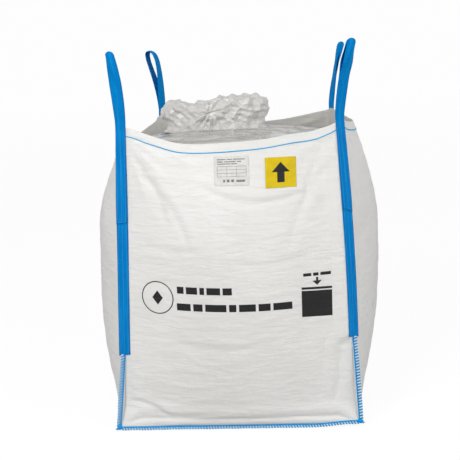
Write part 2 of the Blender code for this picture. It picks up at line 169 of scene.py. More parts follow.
def rim_at(side, u):
    """The height of the rim, which droops between the corners."""
    droops = RIM_DROOPS[side]
    i = 0
    while i < len(droops) - 2 and u > droops[i + 1][0]:
        i += 1
    (u0, d0), (u1, d1) = droops[i], droops[i + 1]
    before, after = droops[max(i - 1, 0)], droops[min(i + 2, len(droops) - 1)]
    share = min(max((u - u0) / (u1 - u0), 0.0), 1.0)
    start = (d1 - before[1]) / (u1 - before[0]) * (u1 - u0)
    end = (after[1] - d0) / (after[0] - u0) * (u1 - u0)
    rest = 1 - share
    curve = d0 * (1 + 2 * share) * rest**2 + start * share * rest**2
    return RIM_HEIGHT - curve - d1 * share**2 * (3 - 2 * share) - end * share**2 * (share - 1)


def foot_lift(place):
    """How far the base's edge is lifted at a place, near the front right corner."""
    return FOOT_LIFT * smoothstep((place.x - 0.26) / 0.17) * smoothstep((-place.y - 0.20) / 0.22)


def side_point(side, u, t, out=0.0):
    """A point on a side: u across it as seen from outside, t up it, and out metres outside it."""
    first, last = (corner(name, t) for name in SIDES[side][:2])
    along = last - first
    outward = Vector((along.y, -along.x)).normalized()
    place = first + along * u + outward * (bow(side, t) * math.sin(math.pi * u) + out)
    z = BASE_LIFT + t * (rim_at(side, u) - BASE_LIFT)
    z += foot_lift(place) * (1 - min(t, FOOT_TOP) / FOOT_TOP) ** 2
    return Vector((place.x, place.y, z))


def share_up(side, u, z):
    """The share t at which a side reaches a height."""
    return (z - BASE_LIFT) / (rim_at(side, u) - BASE_LIFT)


def facing(name, degrees_to_side):
    """The horizontal direction that far round from the front or back towards the corner's own side."""
    place = RIM_CORNERS[name]
    turn = math.radians(degrees_to_side)
    return Vector((math.copysign(math.sin(turn), place[0]), math.copysign(math.cos(turn), place[1]), 0))


def strap_frame(name):
    """The webbing's directions at a corner: outward, across its width, and up the corner line."""
    outward = facing(name, STRAPS[name][0])
    up = (corner_point(name, LEG_TOP) - corner_point(name, 0.2)).normalized()
    across = up.cross(outward).normalized()
    return across.cross(up).normalized(), across, up


# ---- materials ----
def socket(tree, source, target):
    """Sets an input from a value, or links it from a socket."""
    if isinstance(source, bpy.types.NodeSocket):
        tree.links.new(source, target)
    else:
        target.default_value = source


def add_node(tree, kind, inputs=(), **settings):
    """A shader node with its settings and inputs; returns its first output."""
    made = tree.nodes.new("ShaderNode" + kind)
    for name, value in settings.items():
        setattr(made, name, value)
    for name, value in dict(inputs).items():
        socket(tree, value, made.inputs[name])
    return made.outputs[0]


def maths(tree, operation, a, b=0.0, c=0.0):
    return add_node(tree, "Math", {0: a, 1: b, 2: c}, operation=operation)


def mix_colours(tree, share, a, b):
    made = tree.nodes.new("ShaderNodeMix")
    made.data_type = "RGBA"
    for name, value in ((0, share), (6, a), (7, b)):
        socket(tree, value, made.inputs[name])
    return made.outputs[2]


def ramp(tree, value, low, high, to_low=0.0, to_high=1.0):
    return add_node(tree, "MapRange", {0: value, 1: low, 2: high, 3: to_low, 4: to_high})


def new_material(name, roughness, **sockets):
    """A Principled material, with its tree and its shader."""
    made = bpy.data.materials.new(name)
    made.use_nodes = True
    tree = made.node_tree
    shader = tree.nodes["Principled BSDF"]
    shader.inputs["Roughness"].default_value = roughness
    for label, value in sockets.items():
        shader.inputs[label.replace("_", " ")].default_value = value
    return made, tree, shader


def cloth_coordinates(tree):
    """The cloth's own metres: across, and along."""
    split = tree.nodes.new("ShaderNodeSeparateXYZ")
    tree.links.new(add_node(tree, "UVMap", uv_map="cloth"), split.inputs[0])
    return split.outputs[0], split.outputs[1]


def weave_height(tree, across, along, pitch):
    """Plain weave of flat tapes: which tape is on top alternates from cell to cell."""
    def cell(value):
        scaled = maths(tree, "DIVIDE", value, pitch)
        return maths(tree, "FLOOR", scaled), maths(tree, "FRACT", scaled)

    column, across_cell = cell(across)
    row, along_cell = cell(along)
    parity = maths(tree, "MODULO", maths(tree, "ABSOLUTE", maths(tree, "ADD", column, row)), 2.0)

    def crown(value):
        centred = maths(tree, "SUBTRACT", value, 0.5)
        return maths(tree, "SUBTRACT", 1.0, maths(tree, "MULTIPLY", maths(tree, "MULTIPLY", centred, centred), 4.0))

    up_and_down = crown(along_cell)
    side_to_side = crown(across_cell)
    chosen = add_node(tree, "Mix", {0: parity, 2: up_and_down, 3: side_to_side}, data_type="FLOAT")
    return chosen, parity, column, row


def object_noise(tree, scale, detail=3.0, roughness=0.55, stretch=(1, 1, 1)):
    """Noise in the piece's own space, in cycles per metre."""
    coordinates = tree.nodes.new("ShaderNodeTexCoord").outputs["Object"]
    mapped = add_node(tree, "Mapping", {0: coordinates, 3: stretch})
    return add_node(tree, "TexNoise", {"Vector": mapped, "Scale": scale, "Detail": detail, "Roughness": roughness})


def bumped(tree, shader, layers):
    """Stacks bumps: each layer is a height from 0 to 1, its depth in metres and its strength."""
    normal = None
    for height, depth, strength in layers:
        made = tree.nodes.new("ShaderNodeBump")
        made.inputs["Strength"].default_value = strength
        made.inputs["Distance"].default_value = depth
        tree.links.new(height, made.inputs["Height"])
        if normal is not None:
            tree.links.new(normal, made.inputs["Normal"])
        normal = made.outputs[0]
    tree.links.new(normal, shader.inputs["Normal"])


def woven_fabric():
    """Coated woven polypropylene, off-white; its inner faces are darkened with painted shade and lit with a painted
    glow.
    """
    made, tree, shader = new_material(
        "woven_fabric", 0.46, Sheen_Weight=0.12, Sheen_Roughness=0.5, Coat_Weight=0.10, Coat_Roughness=0.35
    )
    across, along = cloth_coordinates(tree)
    weave, parity, column, row = weave_height(tree, across, along, 0.0028)
    shade = add_node(tree, "TexWhiteNoise", {1: column}, noise_dimensions="1D")
    shade_row = add_node(tree, "TexWhiteNoise", {1: row}, noise_dimensions="1D")
    tape = add_node(tree, "Mix", {0: parity, 2: shade_row, 3: shade}, data_type="FLOAT")
    broad = object_noise(tree, 5.0, 4.0)
    base = mix_colours(tree, ramp(tree, broad, 0.3, 0.7), (0.735, 0.728, 0.708, 1), (0.785, 0.778, 0.762, 1))
    base = mix_colours(tree, maths(tree, "MULTIPLY", tape, 0.10), base, (0.62, 0.61, 0.575, 1))
    inside = tree.nodes.new("ShaderNodeAttribute")
    inside.attribute_name = "inside"
    # Painted shade: the fabric's inner faces get a darker colour that stands for the shade inside the bag.
    base = mix_colours(tree, inside.outputs["Fac"], base, (0.50, 0.487, 0.460, 1))
    # Painted glow: the inner faces emit warm light, 0.03 rising to 0.20 towards the left (x below -0.30), standing in
    # for light through the weave; no lamp is there.
    shader.inputs["Emission Color"].default_value = (1.0, 0.97, 0.92, 1)
    spot = add_node(tree, "SeparateXYZ", {0: tree.nodes.new("ShaderNodeTexCoord").outputs["Object"]})
    painted_glow = ramp(tree, maths(tree, "MULTIPLY", spot, -1.0), 0.30, 0.40, 0.03, 0.20)
    tree.links.new(maths(tree, "MULTIPLY", inside.outputs["Fac"], painted_glow), shader.inputs["Emission Strength"])
    tree.links.new(base, shader.inputs["Base Color"])
    beside = ramp(tree, maths(tree, "ABSOLUTE", spot), 0.43, 0.56)
    rough = ramp(tree, object_noise(tree, 14.0, 3.0), 0.3, 0.7, 0.38, 0.56)
    rough = maths(tree, "SUBTRACT", rough, maths(tree, "MULTIPLY", beside, 0.16))
    tree.links.new(rough, shader.inputs["Roughness"])
    stretched = add_node(tree, "CombineXYZ", {0: maths(tree, "MULTIPLY", across, 13.0),
                                              1: maths(tree, "MULTIPLY", along, 62.0), 2: 0.0})
    ripples = add_node(tree, "TexNoise", {"Vector": stretched, "Scale": 1.0, "Detail": 4.0, "Roughness": 0.55,
                                          "Distortion": 0.5})
    crinkle = object_noise(tree, 46.0, 5.0, 0.6)
    puckers = maths(tree, "MULTIPLY", object_noise(tree, 15.0, 4.0, 0.6), beside)
    layers = [(ripples, 0.0048, 0.70), (crinkle, 0.0026, 0.55), (puckers, 0.006, 0.50), (weave, 0.0003, 0.5)]
    bumped(tree, shader, layers)
    return made


def webbing():
    """Blue polypropylene webbing with lengthwise ribs and darker selvedges."""
    made, tree, shader = new_material("webbing", 0.66, Specular_IOR_Level=0.03)
    across, along = cloth_coordinates(tree)
    weave, parity, column, row = weave_height(tree, across, along, 0.0021)
    chevron = add_node(
        tree, "TexWave",
        {"Vector": add_node(tree, "CombineXYZ", {0: maths(tree, "ABSOLUTE", across), 1: along, 2: 0.0}),
         "Scale": 190.0, "Distortion": 0.0},
        bands_direction="DIAGONAL",
    )
    edge = ramp(tree, maths(tree, "ABSOLUTE", across), 0.0185, 0.0235)
    broad = object_noise(tree, 16.0, 3.0)
    base = mix_colours(tree, ramp(tree, broad, 0.3, 0.7), (0.0, 0.206, 0.565, 1), (0.0, 0.252, 0.66, 1))
    base = mix_colours(tree, maths(tree, "MULTIPLY", chevron, 0.35), base, (0.0, 0.15, 0.48, 1))
    base = mix_colours(tree, maths(tree, "MULTIPLY", edge, 0.5), base, (0.0, 0.12, 0.40, 1))
    lengthwise = add_node(tree, "CombineXYZ", {0: maths(tree, "MULTIPLY", across, 90.0),
                                               1: maths(tree, "MULTIPLY", along, 5.0), 2: 0.0})
    streaks = add_node(tree, "TexNoise", {"Vector": lengthwise, "Scale": 1.0, "Detail": 3.0})
    base = mix_colours(tree, ramp(tree, streaks, 0.50, 0.72, 0.0, 0.55), base, (0.012, 0.33, 0.78, 1))
    fuzz = ramp(tree, object_noise(tree, 330.0, 2.0), 0.66, 0.76, 0.0, 0.35)
    base = mix_colours(tree, fuzz, base, (0.16, 0.46, 0.80, 1))
    tree.links.new(base, shader.inputs["Base Color"])
    bumped(tree, shader, [(chevron, 0.0006, 0.6), (weave, 0.0005, 0.6)])
    return made


def thread(name, colour, dark):
    """Multifilament sewing thread."""
    made, tree, shader = new_material(name, 0.6, Specular_IOR_Level=0.2)
    fibres = object_noise(tree, 900.0, 2.0)
    base = mix_colours(tree, ramp(tree, fibres, 0.35, 0.65), colour, dark)
    tree.links.new(base, shader.inputs["Base Color"])
    bumped(tree, shader, [(fibres, 0.0004, 0.5)])
    return made


def liner_film(name, colour, dark, gloss, coat, stretch, depth):
    """Polyethylene film, crinkled; stretch lengthens its crinkles along each axis."""
    made, tree, shader = new_material(name, gloss, Coat_Weight=coat, Coat_Roughness=0.10)
    broad = object_noise(tree, 1.0, 4.0, 0.55, stretch=tuple(0.7 * v for v in stretch))
    base = mix_colours(tree, ramp(tree, broad, 0.32, 0.68), colour, dark)
    tree.links.new(base, shader.inputs["Base Color"])
    rough = ramp(tree, object_noise(tree, 30.0, 3.0), 0.3, 0.7, gloss - 0.06, gloss + 0.12)
    tree.links.new(rough, shader.inputs["Roughness"])
    coordinates = tree.nodes.new("ShaderNodeTexCoord").outputs["Object"]
    placed = add_node(tree, "Mapping", {0: coordinates, 3: stretch})
    folds = add_node(tree, "TexVoronoi", {"Vector": placed, "Scale": 1.0}, feature="F1", distance="MANHATTAN")
    fine = object_noise(tree, 1.0, 2.0, 0.5, stretch=tuple(2.2 * v for v in stretch))
    bumped(tree, shader, [(folds, depth, 0.35), (fine, depth * 0.35, 0.4)])
    return made


def plain(name, colour, dark, roughness, grain):
    """A printed or plastic surface with a slight unevenness."""
    made, tree, shader = new_material(name, roughness, Specular_IOR_Level=0.25)
    speck = object_noise(tree, grain, 4.0)
    base = mix_colours(tree, ramp(tree, speck, 0.35, 0.65), colour, dark)
    tree.links.new(base, shader.inputs["Base Color"])
    bumped(tree, shader, [(speck, 0.0004, 0.35)])
    return made


FABRIC_LOOK = woven_fabric()
WEBBING_LOOK = webbing()
SEAM_LOOK = thread("seam_thread", (0.0, 0.330, 0.73, 1), (0.0, 0.262, 0.62, 1))
HEM_LOOK = thread("hem_thread", (0.03, 0.44, 0.77, 1), (0.015, 0.33, 0.67, 1))
STITCH_LOOK = thread("strap_thread", (0.13, 0.42, 0.78, 1), (0.05, 0.26, 0.62, 1))
SHOULDER_LOOK = liner_film(
    "shoulder_film", (0.37, 0.36, 0.335, 1), (0.76, 0.75, 0.725, 1), 0.20, 0.8, (5.0, 11.0, 11.0), 0.022
)
NECK_LOOK = liner_film("neck_film", (0.68, 0.67, 0.65, 1), (0.60, 0.59, 0.57, 1), 0.36, 0.25, (34.0, 34.0, 34.0), 0.006)
PAPER_LOOK = plain("label_paper", (0.70, 0.695, 0.67, 1), (0.62, 0.615, 0.59, 1), 0.5, 60.0)
YELLOW_LOOK = plain("yellow_vinyl", (0.68, 0.50, 0.003, 1), (0.61, 0.44, 0.002, 1), 0.42, 40.0)
INK_LOOK = plain("black_ink", (0.010, 0.010, 0.011, 1), (0.024, 0.024, 0.025, 1), 0.5, 420.0)
GREY_INK_LOOK = plain("grey_ink", (0.16, 0.16, 0.16, 1), (0.26, 0.26, 0.25, 1), 0.5, 420.0)


# ---- meshes ----
def new_piece(name, points, faces, look, body="bag", coordinates=None, inner=None):
    """A smooth-shaded mesh piece that rides on a body.

    coordinates are the cloth's metres at each point; inner is a range of the points on its inner face, which the
    fabric's material darkens with painted shade and lights with a painted glow.
    """
    mesh = bpy.data.meshes.new(name)
    mesh.from_pydata([tuple(p) for p in points], [], faces)
    if inner is not None:
        layer = mesh.attributes.new("inside", "FLOAT", "POINT")
        for i in inner:
            layer.data[i].value = 1.0
    if coordinates is not None:
        layer = mesh.uv_layers.new(name="cloth")
        for loop in mesh.loops:
            layer.data[loop.index].uv = coordinates[loop.vertex_index]
    shell = bmesh.new()
    shell.from_mesh(mesh)
    bmesh.ops.recalc_face_normals(shell, faces=shell.faces)
    shell.to_mesh(mesh)
    shell.free()
    mesh.shade_smooth()
    mesh.materials.append(look)
    obj = bpy.data.objects.new(name, mesh)
    bpy.context.scene.collection.objects.link(obj)
    if body:
        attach(obj, body)
    return obj


def grid_faces(rows, columns, closed=False):
    """Quads that join rows of points; closed joins each row's last point to its first."""
    faces = []
    for r in range(rows - 1):
        for c in range(columns if closed else columns - 1):
            beside = (c + 1) % columns
            low, high = r * columns, (r + 1) * columns
            faces.append((low + c, low + beside, high + beside, high + c))
    return faces


def grid_normals(grid):
    """The normal at each point of a grid of points."""
    rows, columns = len(grid), len(grid[0])
    normals = []
    for r in range(rows):
        line = []
        for c in range(columns):
            along = grid[r][min(c + 1, columns - 1)] - grid[r][max(c - 1, 0)]
            up = grid[min(r + 1, rows - 1)][c] - grid[max(r - 1, 0)][c]
            line.append(along.cross(up).normalized())
        normals.append(line)
    return normals


def shell_of(grid, coordinates, thickness):
    """Points, faces and coordinates of a sheet of a thickness, with its four edges rounded."""
    rows, columns = len(grid), len(grid[0])
    normals = grid_normals(grid)
    size = rows * columns
    points, uvs = [], []
    for side in (0.5, -0.5):
        for r in range(rows):
            for c in range(columns):
                points.append(grid[r][c] + normals[r][c] * thickness * side)
                uvs.append(coordinates[r][c])
    faces = grid_faces(rows, columns)
    faces += [tuple(size + i for i in face[::-1]) for face in faces]
    border = [(0, c) for c in range(columns)]
    border += [(r, columns - 1) for r in range(1, rows)]
    border += [(rows - 1, c) for c in range(columns - 2, -1, -1)]
    border += [(r, 0) for r in range(rows - 2, 0, -1)]
    first = len(points)
    for r, c in border:
        inward = grid[min(max(r, 1), rows - 2)][min(max(c, 1), columns - 2)]
        outward = (grid[r][c] - inward).normalized()
        points.append(grid[r][c] + outward * thickness * 0.5)
        uvs.append(coordinates[r][c])
    count = len(border)
    for i, (r, c) in enumerate(border):
        following = (i + 1) % count
        here, there = r * columns + c, border[following][0] * columns + border[following][1]
        faces.append((here, there, first + following, first + i))
        faces.append((first + i, first + following, size + there, size + here))
    return points, faces, uvs


def strand(points, normals, wide, thick, sides=6, closed=False):
    """Points and faces of a thread: an ellipse along points, wide across and thick along the normals."""
    rings = []
    count = len(points)
    for i, (point, normal) in enumerate(zip(points, normals)):
        ahead = points[(i + 1) % count] if closed else points[min(i + 1, count - 1)]
        behind = points[i - 1] if closed else points[max(i - 1, 0)]
        across = (ahead - behind).cross(normal).normalized()
        ring = []
        for step in range(sides):
            angle = 2 * math.pi * step / sides
            ring.append(point + across * (wide / 2 * math.cos(angle)) + normal * (thick / 2 * math.sin(angle)))
        rings.append(ring)
    if closed:
        rings.append(rings[0])
        faces = grid_faces(len(rings) - 1, sides, closed=True)
        last = (len(rings) - 2) * sides
        faces += [(last + c, last + (c + 1) % sides, (c + 1) % sides, c) for c in range(sides)]
        rings.pop()
    else:
        faces = grid_faces(len(rings), sides, closed=True)
        end = (len(rings) - 1) * sides
        faces += [tuple(range(sides))[::-1], tuple(range(end, end + sides))]
    return [p for ring in rings for p in ring], faces


def gather(parts):
    """Joins lists of (points, faces) into one."""
    points, faces = [], []
    for more_points, more_faces in parts:
        start = len(points)
        points += more_points
        faces += [tuple(start + i for i in face) for face in more_faces]
    return points, faces


# ---- camera and studio ----
CAMERA_AZIMUTH = 3.0
CAMERA_DISTANCE = 3.64
CAMERA_HEIGHT = 1.315
CAMERA_HEADING = 3.54
CAMERA_PITCH = 10.15
CAMERA_ROLL = -2.3
CAMERA_LENS = 71.2
BACKDROP = 0.985  # how bright the studio looks behind the bag
FRONT_LIGHT = 1.05  # how much light comes from in front, from the sides and from above
SIDE_LIGHT = 0.78
ZENITH_LIGHT = 0.44


def camera():
    azimuth, heading = math.radians(CAMERA_AZIMUTH), math.radians(CAMERA_HEADING)
    pitch, roll = math.radians(CAMERA_PITCH), math.radians(CAMERA_ROLL)
    forward = Vector((-math.sin(heading) * math.cos(pitch), math.cos(heading) * math.cos(pitch), -math.sin(pitch)))
    right = Vector((math.cos(heading), math.sin(heading), 0))
    up = right.cross(forward)
    rolled_right = right * math.cos(roll) + up * math.sin(roll)
    rolled_up = up * math.cos(roll) - right * math.sin(roll)
    data = bpy.data.cameras.new("camera")
    data.lens = CAMERA_LENS
    data.sensor_width = 36.0
    data.clip_end = 100.0
    made = bpy.data.objects.new("camera", data)
    place = Vector((CAMERA_DISTANCE * math.sin(azimuth), -CAMERA_DISTANCE * math.cos(azimuth), CAMERA_HEIGHT))
    turn = Matrix((rolled_right, rolled_up, -forward)).transposed()
    made.matrix_world = Matrix.Translation(place) @ turn.to_4x4()
    bpy.context.scene.collection.objects.link(made)
    bpy.context.scene.camera = made


def softbox(name, place, size, power, toward=(0, 0, 0.6)):
    data = bpy.data.lights.new(name, "AREA")
    data.shape = "RECTANGLE"
    data.size, data.size_y = size
    data.energy = power
    made = bpy.data.objects.new(name, data)
    made.location = place
    made.rotation_euler = (Vector(toward) - Vector(place)).to_track_quat("-Z", "Y").to_euler()
    bpy.context.scene.collection.objects.link(made)


def studio():
    scene = bpy.context.scene
    scene.view_settings.view_transform = "Standard"
    world = bpy.data.worlds.new("studio")
    world.use_nodes = True
    tree = world.node_tree
    split = tree.nodes.new("ShaderNodeSeparateXYZ")
    tree.links.new(tree.nodes.new("ShaderNodeTexCoord").outputs["Generated"], split.inputs[0])
    round_about = ramp(tree, split.outputs[1], 0.25, -0.65, SIDE_LIGHT, FRONT_LIGHT)
    upward = ramp(tree, split.outputs[2], 0.15, 0.60, 1.0, ZENITH_LIGHT)
    seen = tree.nodes.new("ShaderNodeLightPath").outputs["Is Camera Ray"]
    lit = maths(tree, "MULTIPLY", round_about, upward)
    shade = add_node(tree, "Mix", {0: seen, 2: lit, 3: BACKDROP}, data_type="FLOAT")
    background = tree.nodes["Background"]
    background.inputs["Color"].default_value = (1.0, 1.0, 1.0, 1.0)
    tree.links.new(shade, background.inputs["Strength"])
    scene.world = world
    softbox("key", (-1.8, -3.4, 3.0), (1.6, 1.6), 84)
    softbox("fill", (3.4, -2.0, 2.0), (2.0, 2.0), 42)
    softbox("top", (0.0, 0.6, 4.2), (3.0, 3.0), 10)
    floor = bpy.data.meshes.new("floor")
    reach = 40.0
    floor.from_pydata([(-reach, -reach, 0), (reach, -reach, 0), (reach, reach, 0), (-reach, reach, 0)], [], [(0, 1, 2, 3)])
    look, tree, shader = new_material("pale_floor", 0.9)
    seen = tree.nodes.new("ShaderNodeLightPath").outputs["Is Camera Ray"]
    pale = mix_colours(tree, seen, (0.34, 0.34, 0.335, 1), (0.10, 0.10, 0.10, 1))
    tree.links.new(pale, shader.inputs["Base Color"])
    shader.inputs["Emission Color"].default_value = (1, 1, 1, 1)
    tree.links.new(ramp(tree, seen, 0.0, 1.0, 0.17, 0.895), shader.inputs["Emission Strength"])
    floor.materials.append(look)
    made = bpy.data.objects.new("floor", floor)
    scene.collection.objects.link(made)


camera()
studio()


# ---- the fabric's relief ----
def ridged(value):
    return 1 - abs(value) * 2


def crossways(side, u, t):
    """Metres across a side from its middle."""
    first, last = (corner(name, t) for name in SIDES[side][:2])
    return (u - 0.5) * (last - first).length


# soft folds on the front: start and end as (x, z), sag of the line, half width, depth
FRONT_FOLDS = (
    ((-0.07, 0.895), (0.245, 0.872), -0.028, 0.010, 0.0045),
    ((-0.05, 0.868), (0.16, 0.855), -0.018, 0.009, 0.0025),
    ((-0.345, 1.020), (-0.235, 0.800), 0.020, 0.014, 0.0040),
    ((-0.330, 0.960), (-0.150, 0.700), 0.030, 0.013, 0.0030),
    ((0.345, 1.040), (0.265, 0.840), -0.020, 0.013, 0.0040),
    ((0.340, 0.960), (0.200, 0.660), -0.025, 0.014, 0.0030),
    ((-0.400, 0.110), (-0.255, 0.052), 0.016, 0.010, 0.0050),
    ((-0.330, 0.075), (-0.120, 0.060), -0.010, 0.010, 0.0030),
    ((0.385, 0.420), (0.350, 0.090), 0.012, 0.014, 0.0045),
    ((0.330, 0.360), (0.310, 0.120), -0.010, 0.012, 0.0025),
    ((-0.300, 0.700), (-0.120, 0.690), -0.012, 0.012, 0.0022),
    ((0.020, 0.640), (0.260, 0.655), -0.012, 0.012, 0.0022),
    ((-0.200, 0.350), (0.080, 0.340), -0.020, 0.014, 0.0024),
)


def fold_depth(x, z, folds):
    """How far the listed folds press in or out at a place."""
    total = 0.0
    for start, end, sag, half, depth in folds:
        a, b = Vector(start), Vector(end)
        run = b - a
        place = Vector((x, z)) - a
        share = place.dot(run) / run.length_squared
        if not -0.15 < share < 1.15:
            continue
        off = (run.x * place.y - run.y * place.x) / run.length - sag * 4 * share * (1 - share)
        fade = smoothstep((share + 0.15) / 0.3) * smoothstep((1.15 - share) / 0.3)
        profile = math.exp(-((off / half) ** 2)) - 0.45 * math.exp(-(((off - 2.1 * half) / (1.6 * half)) ** 2))
        total -= depth * fade * profile
    return total


def relief(side, u, t, point):
    """How far the fabric stands out from its smooth shape at a place."""
    s = crossways(side, u, t)
    z = point.z
    first, last = (corner(name, t) for name in SIDES[side][:2])
    half_width = (last - first).length / 2
    from_edge = half_width - abs(s)
    seed = {"front": 0.0, "right": 11.3, "back": 23.7, "left": 37.1}[side]
    warp = noise.noise_vector(Vector((s * 5, z * 5, seed))) * 0.035
    ws, wz = s + warp.x, z + warp.y
    dents = 0.0040 * noise.noise(Vector((ws * 4.5, wz * 4.5, seed + 3)))
    rumples = 0.0019 * ridged(noise.noise(Vector((ws * 5.0, wz * 17.0, seed + 5)))) ** 2
    rumples *= 0.5 + 0.5 * smoothstep(0.5 + noise.noise(Vector((s * 3, z * 3, seed + 7))))
    fine = 0.0007 * ridged(noise.noise(Vector((ws * 17.0, wz * 44.0, seed + 9))))
    top, reach = RIM_HEIGHT - 0.02, 0.42
    diagonal = 0.0
    for sign in (-1, 1):
        dx, dz = half_width + sign * s, top - z
        distance = math.hypot(dx, dz)
        angle = math.atan2(dz, dx)
        fade = smoothstep(distance / 0.05) * (1 - smoothstep((distance - 0.08) / reach))
        diagonal += 0.0030 * fade * ridged(noise.noise(Vector((angle * 4.2 + seed, distance * 3.0, sign * 4.0))))
    puckers = 0.0016 * noise.noise(Vector((s * 6, z * 34, seed + 13))) * (1 - smoothstep((from_edge - 0.012) / 0.07))
    total = dents + rumples + fine + diagonal + puckers
    if side == "front":
        total += fold_depth(point.x, z, FRONT_FOLDS)
    edge = smoothstep(from_edge / 0.035) * smoothstep((z - BASE_LIFT) / 0.03)
    if side in ("front", "back"):
        valley = BASE_LIFT + 0.030 * smoothstep(from_edge / 0.08) + 0.006 * noise.noise(Vector((s * 5, 3.0, seed)))
        pressed = 0.0085 * math.exp(-(((z - valley) / 0.009) ** 2)) - 0.0045 * math.exp(-(((z - valley - 0.034) / 0.018) ** 2))
        total -= pressed * (0.75 + 0.6 * noise.noise(Vector((s * 4, 9.0, seed))))
    rim = rim_at(side, u)
    near_rim = smoothstep((rim - z) / 0.06)
    hem = smoothstep((z - (rim - HEM_DEPTH) + 0.001) / 0.002)
    hem_pucker = 0.0012 * noise.noise(Vector((s * 55, z * 9, seed + 17))) * smoothstep((z - rim + 0.05) / 0.03)
    hem_pucker += 0.0050 * noise.noise(Vector((s * 10, z * 3, seed + 19))) * smoothstep((z - rim + 0.10) / 0.09)
    tuck = -0.0010 * math.exp(-(((z - (rim - HEM_DEPTH)) / 0.003) ** 2))
    return total * edge * (0.25 + 0.75 * near_rim) + (0.0010 * hem + tuck + hem_pucker) * edge


def hugged(side, point, t):
    """The point moved out to lie against the back of the webbing near a corner."""
    for name in SIDES[side][:2]:
        foot = corner_point(name, min(point.z, RIM_HEIGHT))
        away = point - foot
        distance = Vector((away.x, away.y)).length
        if distance > 0.09:
            continue
        outward = strap_frame(name)[0]
        inner_end = STRAPS[name][2]
        along = smoothstep((point.z - inner_end + 0.03) / 0.05)
        weight = (1 - smoothstep((distance - 0.024) / 0.055)) * along
        rise = 0.0034 - away.dot(outward)
        if rise > 0:
            point = point + outward * rise * weight
    return point


def side_grid(side):
    """The side's points and their cloth coordinates, from the base seam up to the rim."""
    columns = round(0.86 / CELL)
    rows = round(1.10 / CELL)
    grid, cloth = [], []
    for r in range(rows + 1):
        t = (r / rows) ** 1.12
        first, last = (corner(name, t) for name in SIDES[side][:2])
        gap = SEAM_LINE_GAP / (last - first).length
        line, uv = [], []
        for c in range(columns + 1):
            u = gap + (1 - 2 * gap) * c / columns
            point = side_point(side, u, t)
            du = side_point(side, min(u + 0.01, 1), t) - side_point(side, max(u - 0.01, 0), t)
            dt = side_point(side, u, min(t + 0.01, 1)) - side_point(side, u, max(t - 0.01, 0))
            normal = du.cross(dt).normalized()
            point = point + normal * relief(side, u, t, point)
            line.append(hugged(side, point, t))
            uv.append((crossways(side, u, t) * 1.06, point.z * 1.03))
        grid.append(line)
        cloth.append(uv)
    return grid, cloth


def base_height(x, y):
    """The underside of the base: flat, then curled up towards its seams."""
    reach = max(abs(x) / BASE_HALF[0], abs(y) / BASE_HALF[1])
    return BASE_LIFT * smoothstep((reach - BASE_FLAT) / (1 - BASE_FLAT)) + 0.00125


def fabric_panels():
    grids = {side: side_grid(side) for side in SIDES}
    panels = {}
    for name, side in (("front_panel", "front"), ("back_panel", "back")):
        grid, cloth = grids[side]
        points, faces, uvs = shell_of(grid, cloth, FABRIC)
        size = len(grid) * len(grid[0])
        panel = new_piece(name + "_fabric", points, faces, FABRIC_LOOK, coordinates=uvs,
                          inner=range(size, 2 * size))
        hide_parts(name)
        panels[side] = panel
    left, left_uv = grids["left"]
    right, right_uv = grids["right"]
    columns = len(left[0])
    base_rows = round(2 * BASE_HALF[0] / CELL)
    base, base_uv = [], []
    for r in range(1, base_rows):
        x = BASE_HALF[0] * (2 * r / base_rows - 1)
        line, uv = [], []
        for c in range(columns):
            y = (BASE_HALF[1] - SEAM_LINE_GAP) * (2 * c / (columns - 1) - 1)
            z = base_height(x, y)
            line.append(Vector((x, y, z + foot_lift(Vector((x, y))) * z / BASE_LIFT)))
            uv.append((y, x - BASE_HALF[0]))
        base.append(line)
        base_uv.append(uv)
    left_rows = [line[::-1] for line in left][::-1]
    left_coords = [[(-u, -v) for u, v in line[::-1]] for line in left_uv][::-1]
    grid = left_rows + base + right
    cloth = left_coords + base_uv + right_uv
    points, faces, uvs = shell_of(grid, cloth, FABRIC)
    size = len(grid) * len(grid[0])
    body = new_piece("u_panel_fabric", points, faces, FABRIC_LOOK, coordinates=uvs,
                     inner=range(size, 2 * size))
    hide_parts("u_panel")
    panels["left"] = panels["right"] = body
    return panels


PANELS = fabric_panels()
TREES = {side: BVHTree.FromPolygons([v.co for v in p.data.vertices], [tuple(f.vertices) for f in p.data.polygons])
         for side, p in PANELS.items() if side != "left"}
TREES["left"] = TREES["right"]


def on_fabric(side, u, z, off):
    """A point off metres outside the fabric of a side, and the fabric's normal there."""
    t = share_up(side, u, z)
    place = side_point(side, u, t)
    first, last = (corner(name, t) for name in SIDES[side][:2])
    outward = Vector(((last - first).y, -(last - first).x, 0)).normalized()
    hit, normal, _, _ = TREES[side].ray_cast(place + outward * 0.08, -outward)
    if hit is None:
        return place + outward * off, outward
    if normal.dot(outward) < 0:
        normal = -normal
    return hit + normal * off, normal


# ---- threads ----
def chain(points, normals, pitch, spread, wide, thick):
    """A chain stitch along points: two strands that part and cross at each stitch."""
    lengths = [0.0]
    for a, b in zip(points, points[1:]):
        lengths.append(lengths[-1] + (b - a).length)
    steps = max(int(lengths[-1] / pitch), 1) * 6
    parts = []
    for sign in (-1, 1):
        path, ups = [], []
        index = 0
        for k in range(steps + 1):
            where = lengths[-1] * k / steps
            while index < len(points) - 2 and lengths[index + 1] < where:
                index += 1
            share = (where - lengths[index]) / max(lengths[index + 1] - lengths[index], 1e-9)
            place = points[index].lerp(points[index + 1], share)
            normal = normals[index].lerp(normals[index + 1], share).normalized()
            across = (points[index + 1] - points[index]).cross(normal).normalized()
            phase = math.pi * k / 6
            path.append(place + across * (sign * spread * math.sin(phase)) + normal * 0.0004 * sign * math.cos(phase))
            ups.append(normal)
        parts.append(strand(path, ups, wide, thick))
    return gather(parts)


